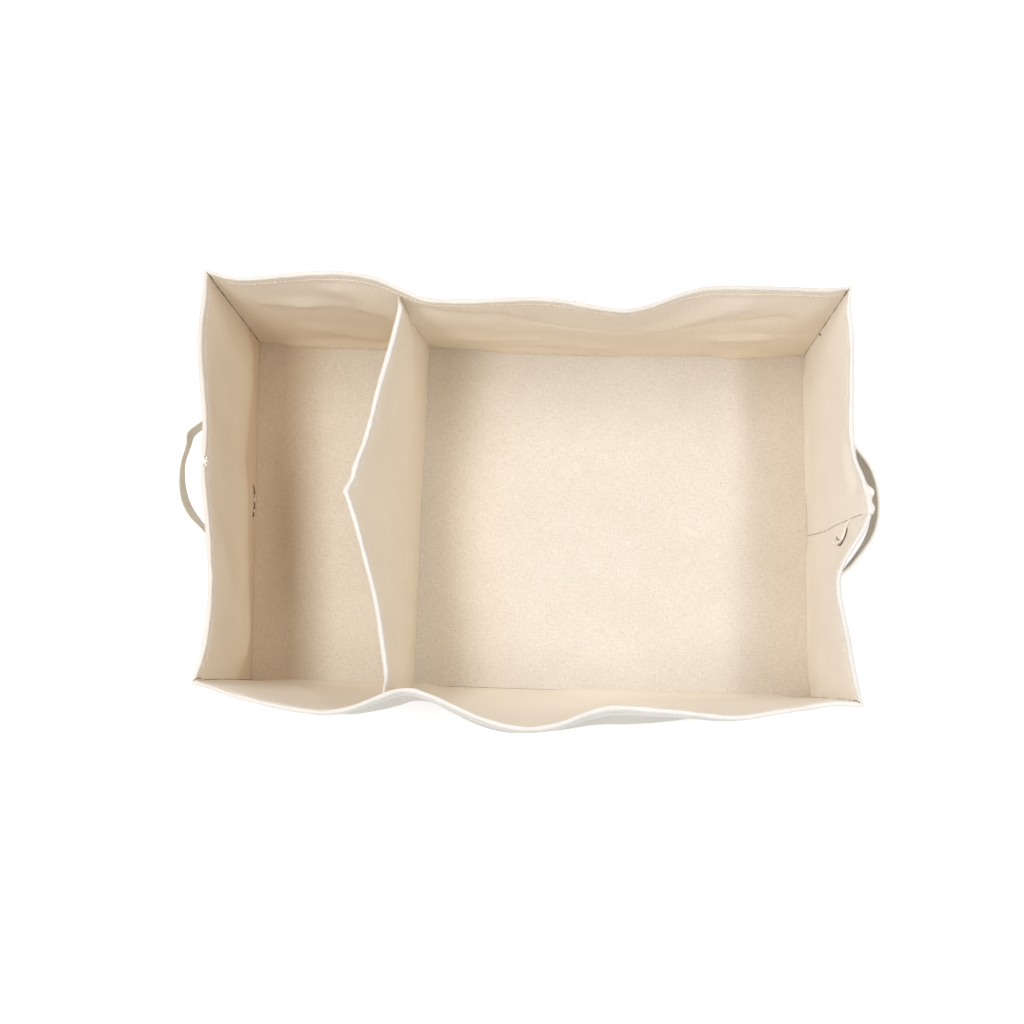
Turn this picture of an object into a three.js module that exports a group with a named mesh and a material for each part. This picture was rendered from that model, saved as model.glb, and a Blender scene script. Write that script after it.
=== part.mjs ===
// A lined canvas storage bin with a sewn divider, taped rim and two strap handles.
// Millimetres, +Z up. +X runs along the bin to its right end, +Y to its back. Z = 0 is the underside.
import * as THREE from 'three';

// Overall size, outside the cloth and up to the raw top edge of the walls
const LENGTH = 480;
const WIDTH = 300;
const WALL_HEIGHT = 199.2;
// The soft bin stands slightly out of square: each 1 mm to the right shifts it this far to the front
const RACK = 0.0257;

// How far the soft walls wave out of their straight planes, and their corners open outwards at the rim
const BACK_WAVE = 16;
const RIGHT_WAVE = 16;
const FRONT_WAVE = 32;
const LEFT_WAVE = 8;
const CORNER_FLARE = 6;

// Cloth and stiffener thicknesses, and the clearance that sewn layers keep
const GAP = 0.3;
const OUTER_CLOTH = 0.6;
const STIFFENER = 0.9;
const LINING = 0.6;
const BOARD = 2;
// Each layer stands back by this much more than its depth from the diagonal of a corner
const MITRE_CLEARANCE = 0.225;

// Binding tape over the raw edges
const TAPE = 0.5;
const TAPE_DROP = 14;
const TAPE_ROUNDING = 0.35;

// Upright corner seams, bound as a narrow fin that ends in a small ear at the rim
const FIN_REACH = 5;
const FIN_THICKNESS = 1.8;
const FIN_TIP = 0.6;
const EAR_REACH = 1;

// Middle seam of each end lining, as a share of the end wall
const END_SEAM = 0.535;

// Divider: where it meets the back and the front wall, measured from the bin's middle
const DIVIDER_BACK_X = -89;
const DIVIDER_FRONT_X = -99;
const DIVIDER_BACK_LEAN = -6;
const DIVIDER_FRONT_LEAN = -2;
const DIVIDER_BOW = 34.5;
const DIVIDER_CLOTH = 0.5;
const DIVIDER_STIFFENER = 0.6;
const DIVIDER_TAPE = 0.4;
const DIVIDER_TAPE_DROP = 11;
const DIVIDER_DROP_BELOW_RIM = 2;

// Strap handles: flat webbing on edge, which bows out from each end wall and swings at the two cuts
const STRAP_WIDTH = 22;
const STRAP_THICKNESS = 1.8;
const STRAP_BELOW_RIM = 49;
const STRAP_BOW = 27.5;
const STRAP_CUT = 38;
const STRAP_SPAN = 112;
const STRAP_TAB = 26;
const HINGE_OUT = 14;
const LEFT_STRAP_Y = 8;
const RIGHT_STRAP_Y = -2;

// Box stitch on each strap tab
const STITCH_THREAD = 0.8;
const STITCH_MARGIN = 3.5;

// Layers of a wall as [outer, inner] depth behind its outside
const outerLayer = [0, OUTER_CLOTH];
const stiffLayer = [outerLayer[1] + GAP, outerLayer[1] + GAP + STIFFENER];
const liningLayer = [stiffLayer[1] + GAP, stiffLayer[1] + GAP + LINING];

// Heights
const boardBottom = OUTER_CLOTH + GAP;
const liningFloor = boardBottom + BOARD + GAP;
const floorTop = liningFloor + LINING;
const tapeFoot = WALL_HEIGHT - TAPE_DROP;
const strapMiddle = WALL_HEIGHT - STRAP_BELOW_RIM;
const strapFoot = strapMiddle - STRAP_WIDTH / 2;
const strapHead = strapMiddle + STRAP_WIDTH / 2;
const rows = [0, floorTop, strapFoot / 3, strapFoot * 2 / 3, strapFoot, strapHead, tapeFoot, WALL_HEIGHT];

// The four walls clockwise as seen from above. Each list holds [share of the wall, share of its wave
// outwards]: the line of the rim, and the belly of the cloth at half height.
const walls = [
  {
    name: 'back',
    out: [0, 1],
    wave: BACK_WAVE,
    rim: [[0, 0], [0.08, 0.219], [0.2, 0.556], [0.26, 0.287], [0.3, -0.181], [0.34, -0.637],
      [0.4, -0.713], [0.52, -0.494], [0.65, -0.981], [0.69, -0.762], [0.74, -0.175], [0.785, 0.206],
      [0.86, 0.275], [0.95, 0.225], [1, 0]],
    belly: [[0, 0], [0.2, 0.125], [0.32, -0.375], [0.5, -0.375], [0.65, -0.562], [0.8, -0.125], [1, 0]],
  },
  {
    name: 'right',
    out: [1, 0],
    wave: RIGHT_WAVE,
    rim: [[0, 0], [0.04, 0], [0.09, 0.163], [0.34, 0.163], [0.41, 0.275], [0.47, 0.688], [0.535, 0.963],
      [0.58, 0.738], [0.68, -0.35], [0.74, -0.55], [0.875, -0.125], [0.94, 0.013], [1, 0]],
    belly: [[0, 0], [0.3, 0.125], [0.53, 0.375], [0.75, -0.188], [1, 0]],
  },
  {
    name: 'front',
    out: [0, -1],
    wave: FRONT_WAVE,
    rim: [[0, 0], [0.05, 0.234], [0.11, 0.419], [0.18, 0.581], [0.29, 0.475], [0.36, 0.444], [0.4, 0.581],
      [0.45, 0.875], [0.5, 0.984], [0.565, 0.787], [0.66, 0.231], [0.695, 0.219], [0.77, 0.669],
      [0.82, 0.762], [0.95, 0.409], [1, 0]],
    belly: [[0, 0], [0.1, 0.25], [0.21, 0.547], [0.385, 0.812], [0.51, 0.875], [0.57, 0.812],
      [0.62, 0.609], [0.68, 0.391], [0.735, 0.516], [0.82, 0.578], [0.92, 0.312], [1, 0]],
  },
  {
    name: 'left',
    out: [-1, 0],
    wave: LEFT_WAVE,
    rim: [[0, 0], [0.09, -0.4], [0.19, -0.688], [0.28, -0.613], [0.4, -0.175], [0.5, 0.25], [0.62, 0.275],
      [0.72, 0.6], [0.82, 0.912], [0.9, 0.887], [0.95, 0.575], [1, 0]],
    belly: [[0, 0], [0.2, -0.375], [0.5, 0.125], [0.8, 0.375], [1, 0]],
  },
];
const [BACK, RIGHT, FRONT, LEFT] = walls.keys();

// Each corner opens outwards by its shares of the flare along X and Y
const corners = [
  { name: 'back_left', side: [-1, 1], flare: [0.5, 0.917] },
  { name: 'back_right', side: [1, 1], flare: [0.417, 0.75] },
  { name: 'front_right', side: [1, -1], flare: [0.667, 0.75] },
  { name: 'front_left', side: [-1, -1], flare: [0.583, 0.583] },
];
const LONG_STEPS = 26;
const END_STEPS = 18;

// Bow of the divider from its back end to its front end, as [share of its length, share of the bow]
const DIVIDER_APEX = 0.505;
const dividerFold = [[0, 0], [0.055, 0.025], [0.228, 0.385], [0.374, 0.675], [0.44, 0.865], [DIVIDER_APEX, 1],
  [0.6, 0.77], [0.677, 0.565], [0.776, 0.32], [0.874, 0.155], [0.96, 0.02], [1, 0]];
const DIVIDER_STEPS = 20;

const colours = {
  outer: 0xe4dccd,
  lining: 0xe2d0b4,
  binding: 0xfaf5ec,
  stiffener: 0xd9d7d0,
  board: 0xb7a98f,
  strap: 0xcfc4b3,
  thread: 0xf3e8d6,
};

const bin = new THREE.Group();

function cloth(colour) {
  return new THREE.MeshStandardMaterial({ color: colour, roughness: 0.95, metalness: 0 });
}

function addPiece(name, geometry, colour) {
  const mesh = new THREE.Mesh(geometry, cloth(colour));
  mesh.name = name;
  bin.add(mesh);
}

// A smooth curve through [x, y] points, read at x
function through(points, x) {
  let i = 0;
  while (i < points.length - 2 && x > points[i + 1][0]) {
    i += 1;
  }
  const slope = (j) => {
    const a = points[Math.max(j - 1, 0)];
    const b = points[Math.min(j + 1, points.length - 1)];
    return (b[1] - a[1]) / (b[0] - a[0]);
  };
  const [x0, y0] = points[i];
  const [x1, y1] = points[i + 1];
  const span = x1 - x0;
  const s = (x - x0) / span;
  const ease = s * s * (3 - 2 * s);
  const leave = s * (1 - s) * (1 - s) * span * slope(i);
  const arrive = s * s * (s - 1) * span * slope(i + 1);
  return y0 + (y1 - y0) * ease + leave + arrive;
}

// How far wall k stands out of its straight plane: flat at the floor, bellied, then waved at the rim
function swell(k, u, z) {
  const t = Math.max(z - floorTop, 0) / (WALL_HEIGHT - floorTop);
  const shape = through(walls[k].rim, u) * t * (2 * t - 1) + through(walls[k].belly, u) * 4 * t * (1 - t);
  return walls[k].wave * shape;
}

// Stations along the walls and the divider. An end wall has one at its seam, the divider one at its fold.
function evenly(from, to, steps) {
  return Array.from({ length: steps + 1 }, (_, i) => from + (to - from) * i / steps);
}

function parted(at, steps) {
  return [...evenly(0, at, steps / 2), ...evenly(at, 1, steps / 2).slice(1)];
}

const longStations = evenly(0, 1, LONG_STEPS);
const endStations = parted(END_SEAM, END_STEPS);
const stations = [longStations, endStations, longStations, endStations];
const dividerStations = parted(DIVIDER_APEX, DIVIDER_STEPS);

// The same swell between stations and rows, so that whatever lies on a wall follows its flat facets
function bracket(list, value) {
  let i = 0;
  while (i < list.length - 2 && value > list[i + 1]) {
    i += 1;
  }
  return [i, (value - list[i]) / (list[i + 1] - list[i])];
}

function facetSwell(k, u, z) {
  const [i, a] = bracket(stations[k], u);
  const [j, b] = bracket(rows, z);
  const at = (m, n) => swell(k, stations[k][m], rows[n]);
  const low = at(i, j) * (1 - a) + at(i + 1, j) * a;
  const high = at(i, j + 1) * (1 - a) + at(i + 1, j + 1) * a;
  return low * (1 - b) + high * b;
}

function wallLength(k) {
  return k === BACK || k === FRONT ? LENGTH : WIDTH;
}

// How far a corner stands out beyond the upright box at a height, along X and Y
function flareAt(k, z) {
  const t = Math.max(z - floorTop, 0) / (WALL_HEIGHT - floorTop);
  return corners[k].flare.map((share) => share * CORNER_FLARE * t);
}

// A point of wall k: u along it, depth behind its outside, z up, and a shift along it in mm. The flare of
// its two corners fades out at the first station beside each.
function onWall(k, u, depth, z, shift = 0) {
  const [sx, sy] = corners[k].side;
  const [nx, ny] = walls[k].out;
  const atStart = Math.max(1 - u / stations[k][1], 0);
  const atEnd = Math.max(1 - (1 - u) / (1 - stations[k].at(-2)), 0);
  const [startX, startY] = flareAt(k, z);
  const [endX, endY] = flareAt((k + 1) % corners.length, z);
  const across = Math.abs(nx);
  const flareOut = across ? startX * atStart + endX * atEnd : startY * atStart + endY * atEnd;
  const flareAlong = across ? endY * atEnd - startY * atStart : endX * atEnd - startX * atStart;
  const along = u * wallLength(k) + shift + flareAlong;
  const out = facetSwell(k, u, z) - depth + flareOut;
  const x = sx * LENGTH / 2 + ny * along + nx * out;
  const y = sy * WIDTH / 2 - nx * along + ny * out;
  return new THREE.Vector3(x, y, z);
}

function rack(point) {
  return point.setY(point.y - RACK * point.x);
}

// Volume inside a closed surface, below zero where its faces point inwards
function volume(points, faces) {
  const cross = new THREE.Vector3();
  let sum = 0;
  for (let i = 0; i < faces.length; i += 3) {
    cross.crossVectors(points[faces[i + 1]], points[faces[i + 2]]);
    sum += points[faces[i]].dot(cross) / 6;
  }
  return sum;
}

// A solid from its points and triangles, turned so that its faces point outwards
function solidGeometry(points, faces) {
  if (volume(points, faces) < 0) {
    faces.reverse();
  }
  const geometry = new THREE.BufferGeometry().setFromPoints(points);
  geometry.setIndex(faces);
  geometry.computeVertexNormals();
  return geometry;
}

// Two triangles from a low edge to a high edge, split from the first low point to the second high point.
// Every layer splits the same way, so that twisted neighbours stay parallel.
function quad(low, nextLow, nextHigh, high) {
  return [low, nextLow, nextHigh, low, nextHigh, high];
}

// A closed sheet. at(a, b, c) gives the point for step a along, side b (0 or 1) and step c up.
function sheetGeometry(alongSteps, upSteps, at) {
  const points = [];
  const faces = [];
  for (let b = 0; b <= 1; b += 1) {
    for (let c = 0; c <= upSteps; c += 1) {
      for (let a = 0; a <= alongSteps; a += 1) {
        points.push(rack(at(a, b, c)));
      }
    }
  }
  const id = (a, b, c) => (b * (upSteps + 1) + c) * (alongSteps + 1) + a;
  for (let c = 0; c < upSteps; c += 1) {
    for (let a = 0; a < alongSteps; a += 1) {
      faces.push(...quad(id(a, 0, c), id(a + 1, 0, c), id(a + 1, 0, c + 1), id(a, 0, c + 1)));
      faces.push(...quad(id(a, 1, c), id(a + 1, 1, c), id(a + 1, 1, c + 1), id(a, 1, c + 1)).reverse());
    }
    faces.push(...quad(id(0, 1, c), id(0, 0, c), id(0, 0, c + 1), id(0, 1, c + 1)));
    faces.push(...quad(id(alongSteps, 0, c), id(alongSteps, 1, c), id(alongSteps, 1, c + 1),
      id(alongSteps, 0, c + 1)));
  }
  for (let a = 0; a < alongSteps; a += 1) {
    faces.push(...quad(id(a, 1, 0), id(a + 1, 1, 0), id(a + 1, 0, 0), id(a, 0, 0)));
    faces.push(...quad(id(a, 0, upSteps), id(a + 1, 0, upSteps), id(a + 1, 1, upSteps), id(a, 1, upSteps)));
  }
  return solidGeometry(points, faces);
}

// A solid through equal rings of points. An open one is capped by the flat outline of its section.
function loftGeometry(rings, outline, closed) {
  const count = outline.length;
  const faces = [];
  const last = closed ? rings.length : rings.length - 1;
  for (let i = 0; i < last; i += 1) {
    const here = i * count;
    const next = ((i + 1) % rings.length) * count;
    for (let j = 0; j < count; j += 1) {
      const k = (j + 1) % count;
      const rising = outline[k].y >= outline[j].y;
      const side = rising
        ? quad(here + j, next + j, next + k, here + k).reverse()
        : quad(here + k, next + k, next + j, here + j);
      faces.push(...side);
    }
  }
  if (!closed) {
    const shift = (rings.length - 1) * count;
    THREE.ShapeUtils.triangulateShape(outline, []).forEach(([a, b, c]) => {
      faces.push(a, c, b, shift + a, shift + b, shift + c);
    });
  }
  return solidGeometry(rings.flat().map(rack), faces);
}

// One layer of a wall between two stations. Ends at a corner are mitred, and ends at a seam keep the gap.
function addWallLayer(name, k, layer, foot, colour, from = 0, to = 1) {
  const shares = stations[k].filter((u) => u >= from && u <= to);
  const heights = [foot, ...rows.slice(1)];
  const ends = { [shares[0]]: 1, [shares[shares.length - 1]]: -1 };
  const geometry = sheetGeometry(shares.length - 1, heights.length - 1, (a, b, c) => {
    const u = shares[a];
    const depth = layer[1 - b];
    const mitre = u === 0 || u === 1 ? depth + MITRE_CLEARANCE : GAP / 2;
    return onWall(k, u, depth, heights[c], (ends[u] || 0) * mitre);
  });
  addPiece(name, geometry, colour);
}

walls.forEach((wall, k) => {
  addWallLayer(`outer_${wall.name}`, k, outerLayer, 0, colours.outer);
});
[BACK, FRONT].forEach((k) => {
  addWallLayer(`stiffener_${walls[k].name}`, k, stiffLayer, liningFloor, colours.stiffener);
  addWallLayer(`lining_${walls[k].name}`, k, liningLayer, liningFloor, colours.lining);
});
[RIGHT, LEFT].forEach((k) => {
  const first = k === RIGHT ? 'back' : 'front';
  const second = k === RIGHT ? 'front' : 'back';
  [[first, 0, END_SEAM], [second, END_SEAM, 1]].forEach(([half, from, to]) => {
    const end = walls[k].name;
    addWallLayer(`stiffener_${end}_${half}`, k, stiffLayer, liningFloor, colours.stiffener, from, to);
    addWallLayer(`lining_${end}_${half}`, k, liningLayer, liningFloor, colours.lining, from, to);
  });
});

// Flat bottom layers, each a little smaller than the walls that stand round it
function addFlat(name, depth, foot, thickness, colour) {
  const geometry = sheetGeometry(1, 1, (a, b, c) => new THREE.Vector3(
    (a - 0.5) * (LENGTH - 2 * depth),
    (b - 0.5) * (WIDTH - 2 * depth),
    foot + c * thickness,
  ));
  addPiece(name, geometry, colour);
}

const insideOuter = outerLayer[1] + GAP;
const insideLining = liningLayer[1] + GAP;
addFlat('outer_bottom', insideOuter, 0, OUTER_CLOTH, colours.outer);
addFlat('base_board', insideOuter, boardBottom, BOARD, colours.board);
addFlat('lining_floor', insideLining, liningFloor, LINING, colours.lining);

// Folded tape over a raw edge: the section runs up the outer leg, over the top and down the inner leg.
// near and far are the two faces of what it covers, measured across; foot and head are heights.
function tapeSection(near, far, foot, head, tape) {
  const inNear = near - GAP;
  const inFar = far + GAP;
  const outNear = inNear - tape;
  const outFar = inFar + tape;
  const top = head + GAP + tape;
  const shoulder = top - TAPE_ROUNDING;
  return [
    [outNear, foot],
    [inNear, foot],
    [inNear, head + GAP],
    [inFar, head + GAP],
    [inFar, foot],
    [outFar, foot],
    [outFar, shoulder],
    [outFar - TAPE_ROUNDING, top],
    [outNear + TAPE_ROUNDING, top],
    [outNear, shoulder],
  ].map(([x, y]) => new THREE.Vector2(x, y));
}

// Rim binding: one tape that runs round all four walls
const rimSection = tapeSection(0, liningLayer[1], tapeFoot, WALL_HEIGHT, TAPE);
const rimRings = [];
walls.forEach((wall, k) => {
  stations[k].slice(0, -1).forEach((u) => {
    rimRings.push(rimSection.map(({ x: depth, y: z }) => {
      if (u > 0) {
        return onWall(k, u, depth, z);
      }
      const [sx, sy] = corners[k].side;
      const [flareX, flareY] = flareAt(k, z);
      const inset = (depth < -GAP ? EAR_REACH : 0) - depth;
      return new THREE.Vector3(sx * (LENGTH / 2 + flareX + inset), sy * (WIDTH / 2 + flareY + inset), z);
    }));
  });
});
addPiece('rim_binding', loftGeometry(rimRings, rimSection, true), colours.binding);

// Upright corner fins, from the floor to just under the rim binding
corners.forEach(({ name, side: [sx, sy] }, k) => {
  const half = FIN_THICKNESS / 2;
  const start = GAP + MITRE_CLEARANCE;
  const outline = [
    [start, -half],
    [FIN_REACH, -half],
    [FIN_REACH + FIN_TIP, 0],
    [FIN_REACH, half],
    [start, half],
  ].map(([x, y]) => new THREE.Vector2(x, y));
  const turn = sx * sy;
  const ring = (z) => outline.map(({ x: reach, y: across }) => new THREE.Vector3(
    sx * (LENGTH / 2 + flareAt(k, z)[0] + (reach + turn * across) * Math.SQRT1_2),
    sy * (WIDTH / 2 + flareAt(k, z)[1] + (reach - turn * across) * Math.SQRT1_2),
    z,
  ));
  const rings = [0, floorTop, tapeFoot - GAP].map(ring);
  addPiece(`corner_binding_${name}`, loftGeometry(rings, outline, false), colours.binding);
});

// Divider. Its layers lie side by side along X, and its ends keep clear of the rim tape on both walls.
const dividerSet = liningLayer[1] + GAP + TAPE + GAP;
const dividerHead = WALL_HEIGHT - DIVIDER_DROP_BELOW_RIM;
const dividerFoot = floorTop + GAP;
const dividerRows = [dividerFoot, ...rows.slice(2, -1), dividerHead];

function onDivider(v, across, z) {
  const t = z / WALL_HEIGHT;
  const backX = DIVIDER_BACK_X + DIVIDER_BACK_LEAN * t + across;
  const frontX = DIVIDER_FRONT_X + DIVIDER_FRONT_LEAN * t + across;
  const start = onWall(BACK, (backX + LENGTH / 2) / LENGTH, dividerSet, z);
  const end = onWall(FRONT, (LENGTH / 2 - frontX) / LENGTH, dividerSet, z);
  const point = start.lerp(end, v);
  point.x -= DIVIDER_BOW * t * through(dividerFold, v);
  return point;
}

// One layer of the divider, either the whole of it or the half before or after its fold
function addDividerLayer(name, low, high, colour, from = 0, to = 1) {
  const inner = dividerStations.filter((v) => v > from && v < to);
  const shares = [from, ...inner, to];
  const geometry = sheetGeometry(shares.length - 1, dividerRows.length - 1, (a, b, c) => (
    onDivider(shares[a], b === 1 ? high : low, dividerRows[c])
  ));
  addPiece(name, geometry, colour);
}

const coreHalf = DIVIDER_STIFFENER / 2;
const faceNear = coreHalf + GAP;
const faceFar = faceNear + DIVIDER_CLOTH;
const foldGap = GAP / WIDTH;
addDividerLayer('divider_face_left', -faceFar, -faceNear, colours.lining);
addDividerLayer('divider_face_right', faceNear, faceFar, colours.lining);
addDividerLayer('divider_stiffener_back', -coreHalf, coreHalf, colours.stiffener, 0, DIVIDER_APEX - foldGap);
addDividerLayer('divider_stiffener_front', -coreHalf, coreHalf, colours.stiffener, DIVIDER_APEX + foldGap, 1);

// Tape over the divider's top edge, which stops just short of the rim tape
const dividerTapeFoot = dividerHead - DIVIDER_TAPE_DROP;
const dividerSection = tapeSection(-faceFar, faceFar, dividerTapeFoot, dividerHead, DIVIDER_TAPE);
const dividerRings = dividerStations.map((v) => (
  dividerSection.map(({ x: across, y: z }) => onDivider(v, across, z))
));
addPiece('divider_binding', loftGeometry(dividerRings, dividerSection, false), colours.binding);

// Bow of a strap's loop beyond its hinge, as [share of the way from its middle to its cut, share of the bow]
const strapArch = [[-1, 0], [-0.71, 0.53], [-0.37, 0.89], [0, 1], [0.37, 0.89], [0.71, 0.53], [1, 0]];
const ARCH_STEPS = 16;
const ROOT_STEPS = 4;
const ROOT_BEND = 0.45;
// Stations this close to the end of a tab are left out, so that it has no sliver of a facet
const STATION_MARGIN = 1;

// Moves each point of an open line sideways, mitred at its bends, so that it stays parallel
function parallel(line, distance) {
  return line.map((point, i) => {
    const before = line[Math.max(i - 1, 0)];
    const after = line[Math.min(i + 1, line.length - 1)];
    const arrive = new THREE.Vector2().subVectors(point, before).normalize();
    const leave = new THREE.Vector2().subVectors(after, point).normalize();
    const first = i === 0 ? leave : arrive;
    const second = i === line.length - 1 ? arrive : leave;
    const bend = first.clone().add(second).normalize();
    const reach = distance / bend.dot(first);
    return new THREE.Vector2(point.x - bend.y * reach, point.y + bend.x * reach);
  });
}

// A band on edge. Each of its two lines, at the foot and at the head, is its middle in plan; cuts lists the
// points where it is cut off square to the wall, at a hinge.
function bandGeometry(lines, heights, thickness, cuts, place) {
  const sides = lines.map((line) => [parallel(line, -thickness / 2), parallel(line, thickness / 2)]);
  return sheetGeometry(lines[0].length - 1, 1, (a, b, c) => {
    const line = lines[c];
    if (!cuts.includes(a)) {
      return place(sides[c][b][a], heights[c]);
    }
    const next = line[a === 0 ? 1 : a - 1];
    const slant = new THREE.Vector2().subVectors(line[a], next).normalize();
    const offset = (b - 0.5) * thickness / Math.abs(slant.x);
    return place(new THREE.Vector2(line[a].x, line[a].y + offset), heights[c]);
  });
}

// A rectangular frame of thread on a strap's face. across lists its places along the wall.
function stitchGeometry(across, low, high, place) {
  const near = across[0];
  const far = across[across.length - 1];
  const path = [...across.map((s) => [s, low]), ...across.toReversed().map((s) => [s, high])];
  const rings = path.map(([s, z]) => {
    const inward = (s === near ? STITCH_THREAD : 0) - (s === far ? STITCH_THREAD : 0);
    const upward = z === low ? STITCH_THREAD : -STITCH_THREAD;
    return [
      place(s, z, 0),
      place(s, z, STITCH_THREAD),
      place(s + inward, z + upward, STITCH_THREAD),
      place(s + inward, z + upward, 0),
    ];
  });
  const outline = [[0, 0], [0, 1], [1, 1], [1, 0]].map(([x, y]) => new THREE.Vector2(x, y));
  return loftGeometry(rings, outline, true);
}

function addHandle(k, middleY) {
  const end = walls[k].name;
  const [nx] = walls[k].out;
  const middle = WIDTH / 2 - nx * middleY;
  const wallShare = (s) => (middle + s) / WIDTH;
  const heights = [strapFoot, strapHead];
  const seat = GAP + STRAP_THICKNESS / 2;
  const inPlan = (point, z) => onWall(k, wallShare(point.x), 0, z).setX(nx * (LENGTH / 2 + point.y));

  // The wall's outside in plan between two distances from the strap's middle
  const wallLine = (from, to, z) => {
    const between = stations[k].map((u) => u * WIDTH - middle).filter((s) => (
      s > from + STATION_MARGIN && s < to - STATION_MARGIN
    ));
    return [from, ...between, to].map((s) => new THREE.Vector2(s, facetSwell(k, wallShare(s), z)));
  };
  // From the sewn tab out to the cut, leaving the wall gently
  const rootLine = (seam, cut) => {
    const bend = new THREE.Vector2(seam.x + (cut.x - seam.x) * ROOT_BEND, seam.y + GAP);
    return new THREE.QuadraticBezierCurve(seam, bend, cut).getPoints(ROOT_STEPS).slice(1);
  };

  const arch = evenly(-1, 1, ARCH_STEPS).map((share) => new THREE.Vector2(
    share * STRAP_CUT,
    HINGE_OUT + (STRAP_BOW - HINGE_OUT) * through(strapArch, share),
  ));
  const loop = bandGeometry([arch, arch], heights, STRAP_THICKNESS, [0, ARCH_STEPS], inPlan);
  addPiece(`${end}_handle_loop`, loop, colours.strap);

  // The sewn tab and the root that rises from it, before and after the loop
  const sides = k === RIGHT ? ['back', 'front'] : ['front', 'back'];
  const tabFrom = STRAP_SPAN / 2;
  const tabTo = tabFrom + STRAP_TAB;
  sides.forEach((side, i) => {
    const lines = heights.map((z) => {
      const before = i === 0;
      const line = before ? wallLine(-tabTo, -tabFrom, z) : wallLine(tabFrom, tabTo, z);
      const tab = parallel(line, seat);
      const cutAt = STRAP_CUT + GAP;
      return before
        ? [...tab, ...rootLine(tab[tab.length - 1], new THREE.Vector2(-cutAt, HINGE_OUT))]
        : [...rootLine(tab[0], new THREE.Vector2(cutAt, HINGE_OUT)).reverse(), ...tab];
    });
    const cut = i === 0 ? lines[0].length - 1 : 0;
    const tab = bandGeometry(lines, heights, STRAP_THICKNESS, [cut], inPlan);
    addPiece(`${end}_handle_tab_${side}`, tab, colours.strap);

    const from = (i === 0 ? -tabTo : tabFrom) + STITCH_MARGIN;
    const to = (i === 0 ? -tabFrom : tabTo) - STITCH_MARGIN;
    const across = wallLine(from, to, strapMiddle).map((point) => point.x);
    const face = GAP + STRAP_THICKNESS + GAP;
    const onFace = (s, z, rise) => onWall(k, wallShare(s), -face - rise, z);
    const stitch = stitchGeometry(across, strapFoot + STITCH_MARGIN, strapHead - STITCH_MARGIN, onFace);
    addPiece(`${end}_handle_stitch_${side}`, stitch, colours.thread);
  });
}

addHandle(LEFT, LEFT_STRAP_Y);
addHandle(RIGHT, RIGHT_STRAP_Y);

export default bin;
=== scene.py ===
"""A lined canvas storage bin with a sewn divider, a taped rim and two strap handles. Metres, +Z up."""
import math
from functools import partial

import bpy
import numpy as np
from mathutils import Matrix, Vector, noise


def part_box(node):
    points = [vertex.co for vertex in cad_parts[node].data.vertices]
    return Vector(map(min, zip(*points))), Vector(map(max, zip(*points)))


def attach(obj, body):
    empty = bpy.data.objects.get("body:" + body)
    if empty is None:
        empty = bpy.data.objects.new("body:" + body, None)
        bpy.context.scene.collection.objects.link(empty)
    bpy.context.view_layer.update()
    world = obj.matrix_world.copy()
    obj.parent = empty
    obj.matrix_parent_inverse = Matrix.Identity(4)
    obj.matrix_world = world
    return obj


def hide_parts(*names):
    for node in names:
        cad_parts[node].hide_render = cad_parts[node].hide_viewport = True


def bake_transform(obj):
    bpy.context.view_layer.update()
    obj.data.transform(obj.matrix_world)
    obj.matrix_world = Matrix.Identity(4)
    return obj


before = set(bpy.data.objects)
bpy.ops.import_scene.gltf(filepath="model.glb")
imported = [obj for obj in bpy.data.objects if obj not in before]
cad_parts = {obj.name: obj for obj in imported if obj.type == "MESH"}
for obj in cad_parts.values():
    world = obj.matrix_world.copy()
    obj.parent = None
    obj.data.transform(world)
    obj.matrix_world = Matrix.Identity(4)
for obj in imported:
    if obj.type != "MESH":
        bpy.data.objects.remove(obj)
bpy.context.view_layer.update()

# Camera. It looks almost straight down into the bin from a little in front of it, as a shelf shopper
# would, with a normal lens.
bpy.ops.object.select_all(action="DESELECT")
bpy.ops.object.camera_add(
    location=(0.0247, -0.1777, 1.4117),
    rotation=[math.radians(angle) for angle in (7.362, 1.588, 0.329)],
)
camera = bpy.context.object
camera.name = "camera"
camera.data.sensor_width = 36
camera.data.lens = 58.0
bpy.context.scene.camera = camera

# Outer cloth. The bin's outside is natural cotton canvas: four walls and a bottom, sewn together at the
# upright corners and round the foot. Only a felt layer behind it holds it up, so the walls wave.
MM = 0.001
BIN_LENGTH = 480 * MM
BIN_WIDTH = 300 * MM
WALL_TOP = 198.4 * MM
RIM = 199.2 * MM
FLOOR_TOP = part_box("lining_floor")[1].z
RACK = 0.0257
OUTER_CLOTH = 0.6 * MM
SEWN_GAP = 0.3 * MM
WALL_THICK = 2.7 * MM

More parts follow.
